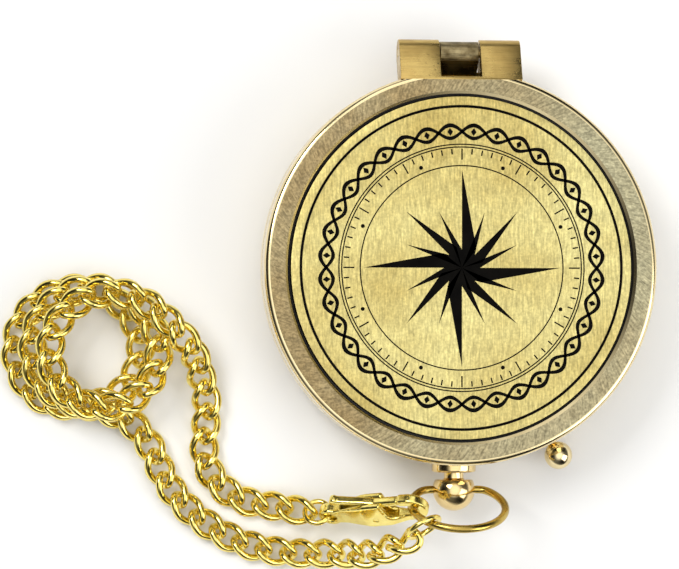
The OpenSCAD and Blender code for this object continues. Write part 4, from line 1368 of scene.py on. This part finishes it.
@dataclass(frozen=True)
class ChainParts(SubAssembly):
    """The curb chain: one twisted link, laid along the route, in millimetres.

    Attributes:
        half_l: Half the link's length, at the middle of its wire, as half_w is of its width.
        twist: Turn of each half of a link, in degrees.
        stretches: Node, first link, link after the last, and body or bend of each stretch.
        way_in: Points of the route with their roll, from the bow to the heap, as way_out is back from it.
        heap_mids: Points that lead the middle of the heap's turns.
        heap_angles: First and last angle of the turns, and the step between their points.
        climb_from: Angle in each turn from which it climbs on the one before.
    """

    half_l: float = 2.4
    half_w: float = 1.5
    wire_d: float = 0.95
    twist: float = 57.0
    pitch: float = 3.2
    ball_y: float = -28.3
    curve_steps: int = 20
    rings: int = 36
    sides: int = 12
    stretches: tuple[tuple[str, int, int, Union[str, Bend]], ...] = (
        ("chain_lead_b", 0, 6, Bend("case", "bow", (-0.0206, -0.0365, 0.0016), (-0.0085, -0.0352, 0.0099))),
        ("chain_run_b", 6, 16, "case"), ("chain_pile", 16, 56, "case"), ("chain_run_a", 56, 64, "case"),
        ("chain_lead_a", 64, 68, Bend("case", "bow", (-0.0293, -0.0281, 0.0013), (-0.0185, -0.0313, 0.0026))))
    way_in: tuple[Four, ...] = (
        (-7.0, -6.4, 11.1, 60), (-10.8, -8.0, 7.6, 20), (-14.8, -8.2, 3.8, 5), (-19.4, -8.3, 1.8, 0),
        (-24.4, -7.7, 1.3, 0), (-29.0, -6.0, 1.3, 0), (-33.4, -3.0, 1.3, 0), (-36.7, 1.0, 1.3, 0),
        (-38.8, 5.6, 1.3, 0), (-41.9, 9.0, 1.3, 0))
    way_out: tuple[Four, ...] = (
        (-36.3, 21.0, 6.9, 0), (-33.8, 18.2, 5.6, 0), (-32.4, 14.7, 3.2, 0), (-31.5, 10.8, 1.9, 0),
        (-31.7, 7.1, 1.3, 0), (-31.6, 3.4, 1.4, 0), (-29.4, 0.1, 1.3, 0), (-25.8, -1.8, 1.3, 0),
        (-22.2, -2.3, 1.8, 0), (-18.0, -3.1, 2.7, 10))
    heap_mids: tuple[Point, Point, Point] = ((-49.2, 18.0), (-46.3, 18.9), (-43.4, 17.6))
    heap_r: float = 7.46
    heap_low: float = 1.3
    heap_climb: float = 2.65
    heap_angles: tuple[int, int, int] = (-15, 945, 30)
    climb_from: float = 210.0

    def heap_point(self, angle: float) -> Vector:
        """A point of the heap's turns.

        Args:
            angle: How far the turns have run there, in degrees.

        Returns:
            The point, with its roll.
        """
        first, last, _ = self.heap_angles
        u = (angle - first) / (last - first)
        mids = [Vector(mid) for mid in self.heap_mids]
        mid = (1 - u) ** 2 * mids[0] + 2 * u * (1 - u) * mids[1] + u * u * mids[2]
        turn = max(0, angle) // 360
        climb = max(0.0, (angle - 360 * turn - self.climb_from) / (360 - self.climb_from))
        return Vector((mid.x - self.heap_r * sin(radians(angle)),
                       mid.y - self.heap_r * cos(radians(angle)),
                       self.heap_low + self.heap_climb * (turn + climb * climb * (3 - 2 * climb)), 0.0))

    def way(self) -> tuple[list[float], list[Vector]]:
        """The smooth curve through the route.

        Returns:
            Distances along it, and its points with their roll.
        """
        first, end, step = self.heap_angles
        heap = [self.heap_point(angle) for angle in range(first, end + 1, step)]
        route = [Vector(point) for point in self.way_in] + heap + [Vector(point) for point in self.way_out]
        points = [point + Vector((0, self.ball_y, 0, 0)) for point in route]
        points = [2 * points[0] - points[1], *points, 2 * points[-1] - points[-2]]
        curve = []
        for a, b, c, d in zip(points, points[1:], points[2:], points[3:]):
            for index in range(self.curve_steps):
                u = index / self.curve_steps
                curve.append((2 * b + u * (c - a) + u * u * (2 * a - 5 * b + 4 * c - d)
                              + u * u * u * (3 * b - a - 3 * c + d)) / 2)
        curve.append(points[-2])
        reach = [0.0]
        for before, after in zip(curve, curve[1:]):
            reach.append(reach[-1] + (after.xyz - before.xyz).length)
        return reach, curve

    def spots(self) -> list[Matrix]:
        """Placement of every link.

        Returns:
            The placements, from the bow on.
        """
        reach, curve = self.way()

        def along(distance: float) -> Vector:
            """Point and roll at a distance along the curve."""
            held = min(max(distance, 0.0), reach[-1])
            index = next((k for k in range(1, len(reach)) if reach[k] >= held), len(reach) - 1)
            share = (held - reach[index - 1]) / (reach[index] - reach[index - 1])
            return curve[index - 1].lerp(curve[index], share)
        made = []
        for index in range(self.stretches[-1][2]):
            middle = along(self.pitch * index)
            line = (along(self.pitch * (index + 0.5)).xyz - along(self.pitch * (index - 0.5)).xyz).normalized()
            flat = Vector((0, 0, 1)).cross(line).normalized()
            roll = radians(middle.w)
            side = cos(roll) * flat + sin(roll) * line.cross(flat)
            made.append(on_axes(middle.xyz, line, side, line.cross(side)))
        return made

    def link(self) -> Mesh:
        """Builds one link: a wire oval whose ends are twisted apart.

        Returns:
            The link, in millimetres.
        """
        path = []
        for index in range(self.rings):
            turn = tau * index / self.rings
            twist, out = radians(self.twist) * cos(turn), self.half_w * sin(turn)
            path.append(Vector((self.half_l * cos(turn), out * cos(twist), out * sin(twist))))
        return sweep(path, [point.normalized() for point in path], self.wire_d / 2, self.sides, True)

    def fittings(self) -> list[Fitting]:
        """Lays the links of the chain's stretches."""
        link, spots, made = self.link(), self.spots(), []
        for node, first, end, body in self.stretches:
            mesh = joined(moved(link.copy(), spot) for spot in spots[first:end])
            piece = keep(mesh, node.replace("chain", "links"), [CHAIN], crease=60.0)
            made.append((piece, node, "chain_gold", body))
        link.free()
        return made


@dataclass(frozen=True)
class WorksParts:
    """Finishes of the small pieces whose frame shapes are kept."""

    finishes: tuple[tuple[Surface, tuple[str, ...]], ...] = (
        (POLISHED, ("crystal_ring", "needle_cap", "spring_rivet")), (ENAMEL, ("dial",)),
        (TURNED, ("spacer_ring",)), (STEEL, ("pivot_post", "lever_pin", "lever_spring")), (JEWEL, ("cap_jewel",)),
        (SATIN_HINGE, ("brake_lever", "lever_bracket")), (CHAIN, ("clasp_pin", "clasp_ring", "end_ring")))

    def dress(self) -> None:
        """Gives each kept node its finish."""
        for finish, nodes in self.finishes:
            for node in nodes:
                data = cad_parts[node].data
                data.materials.clear()
                data.materials.append(finish.material())


@dataclass(frozen=True)
class Studio:
    """The floor, the light and the camera.

    Attributes:
        target: Point that shows in the middle of the picture, in millimetres.
        distance: Distance of the camera from it, in millimetres.
        lean: Turn of the view to the left, in degrees.
        dip: Turn of the view towards the front, in degrees.
        roll: Turn of the camera about its own view, in degrees.
        lens: Focal length in millimetres.
        sensor: Width of the camera's sensor, in millimetres.
        clip: Nearest and farthest distance that shows, in metres.
        floor_z: Height of the floor, in millimetres.
        floor_half: Half the floor's width.
        sky_ends: Brightness of the sky at the horizon and overhead.
        sky_levels: Heights between them, from 0 to 1, and the sky's brightness there.
        sky_depth: How much that brightness rises and falls round about.
        sky_fade: Heights between which that depth dies out.
        sky_waves: How many times it rises and falls.
        lamps: Name, place in millimetres, width in millimetres, power in watts and colour of each lamp.
    """

    target: Place = (-15.557, -2.156, 13.2)
    distance: float = 400.0
    lean: float = 5.855
    dip: float = 0.941
    roll: float = 0.063
    lens: float = 168.94
    sensor: float = 36.0
    clip: Point = (0.01, 20.0)
    floor_z: float = -0.02
    floor_half: float = 2000.0
    sky_ends: Point = (0.8, 1.5)
    sky_levels: tuple[Point, ...] = ((0.1, 0.6), (0.2, 0.25), (0.3, 0.07), (0.7, 0.1), (0.84, 0.6), (0.93, 1.4))
    sky_depth: float = 0.85
    sky_fade: Point = (0.6, 0.92)
    sky_waves: float = 3.0
    lamps: tuple[tuple[str, Place, float, float, Colour], ...] = (
        ("key", (-260, 180, 420), 200.0, 1.2, (1.0, 0.995, 0.985)),
        ("fill", (320, -160, 300), 320.0, 0.9, (0.99, 0.995, 1.0)),
        ("back", (0, 380, 360), 300.0, 0.34, (1.0, 0.99, 0.97)))

    def camera(self) -> None:
        """Makes the camera at the photographed angle."""
        lean, dip = radians(self.lean), radians(self.dip)
        back = Vector((-sin(lean) * cos(dip), -sin(dip), cos(lean) * cos(dip)))
        right = Vector((0, 1, 0)).cross(back).normalized()
        lens = bpy.data.cameras.new("view")
        lens.lens, lens.sensor_width, (lens.clip_start, lens.clip_end) = self.lens, self.sensor, self.clip
        camera = bpy.data.objects.new("view", lens)
        spot = on_axes(MM * (Vector(self.target) + self.distance * back), right, back.cross(right), back)
        camera.matrix_world = spot @ Matrix.Rotation(radians(self.roll), 4, "Z")
        bpy.context.scene.collection.objects.link(camera)
        bpy.context.scene.camera = camera

    def floor(self) -> None:
        """Makes the plain pale floor."""
        mesh = bmesh.new()
        bmesh.ops.create_grid(mesh, x_segments=1, y_segments=1, size=self.floor_half)
        keep(moved(mesh, Matrix.Translation((0, 0, self.floor_z))), "floor", [Pale()])

    def sky(self) -> None:
        """Makes the sky: pale low down and overhead, with darker parts between that differ round about."""
        world = bpy.data.worlds.new("studio")
        world.use_nodes = True
        bpy.context.scene.world = world
        graph = Graph(world.node_tree)
        x, y, height = graph.parts(graph.add("ShaderNodeTexCoord", {}).outputs["Generated"])
        ramp = graph.add("ShaderNodeValToRGB", {0: height})
        stops = ramp.color_ramp.elements
        for stop, level in zip(stops, self.sky_ends):
            stop.color = (level, level, level, 1)
        for place, level in self.sky_levels:
            stops.new(place).color = (level, level, level * 0.99, 1)
        waves = graph.math("COSINE", graph.math("MULTIPLY", graph.math("ARCTAN2", y, x), self.sky_waves))
        depth = graph.spread(height, *self.sky_fade, self.sky_depth, 0.0)
        strength = graph.math("ADD", graph.math("MULTIPLY", waves, depth), 1.0)
        light = graph.add("ShaderNodeBackground", {0: ramp.outputs[0], 1: strength})
        graph.add("ShaderNodeOutputWorld", {0: light.outputs[0]})

    def light(self) -> None:
        """Hangs the soft square lamps, which face the compass."""
        for name, place, size, power, colour in self.lamps:
            data = bpy.data.lights.new(name, "AREA")
            data.shape, data.size, data.energy, data.color = "SQUARE", size * MM, power, colour
            lamp = bpy.data.objects.new(name, data)
            lamp.location = Vector(place) * MM
            lamp.rotation_euler = (-Vector(place)).to_track_quat("-Z", "Y").to_euler()
            bpy.context.scene.collection.objects.link(lamp)

    def build(self) -> None:
        """Builds the studio."""
        self.camera()
        self.floor()
        self.sky()
        self.light()
        bpy.context.scene.view_settings.view_transform = "Standard"


def main() -> None:
    """Builds every piece of the compass."""
    logging.basicConfig(level=logging.INFO, format="%(name)s: %(message)s")
    Studio().build()
    for part in (CaseParts(), LidParts(), HingeParts(), DialParts(), NeedleParts(), LockParts(), PendantParts(),
                 ClaspParts(), ChainParts()):
        for piece in part.build():
            LOG.info("%s: %d faces", piece.name, len(piece.data.polygons))
    WorksParts().dress()


if __name__ == "__main__":
    main()
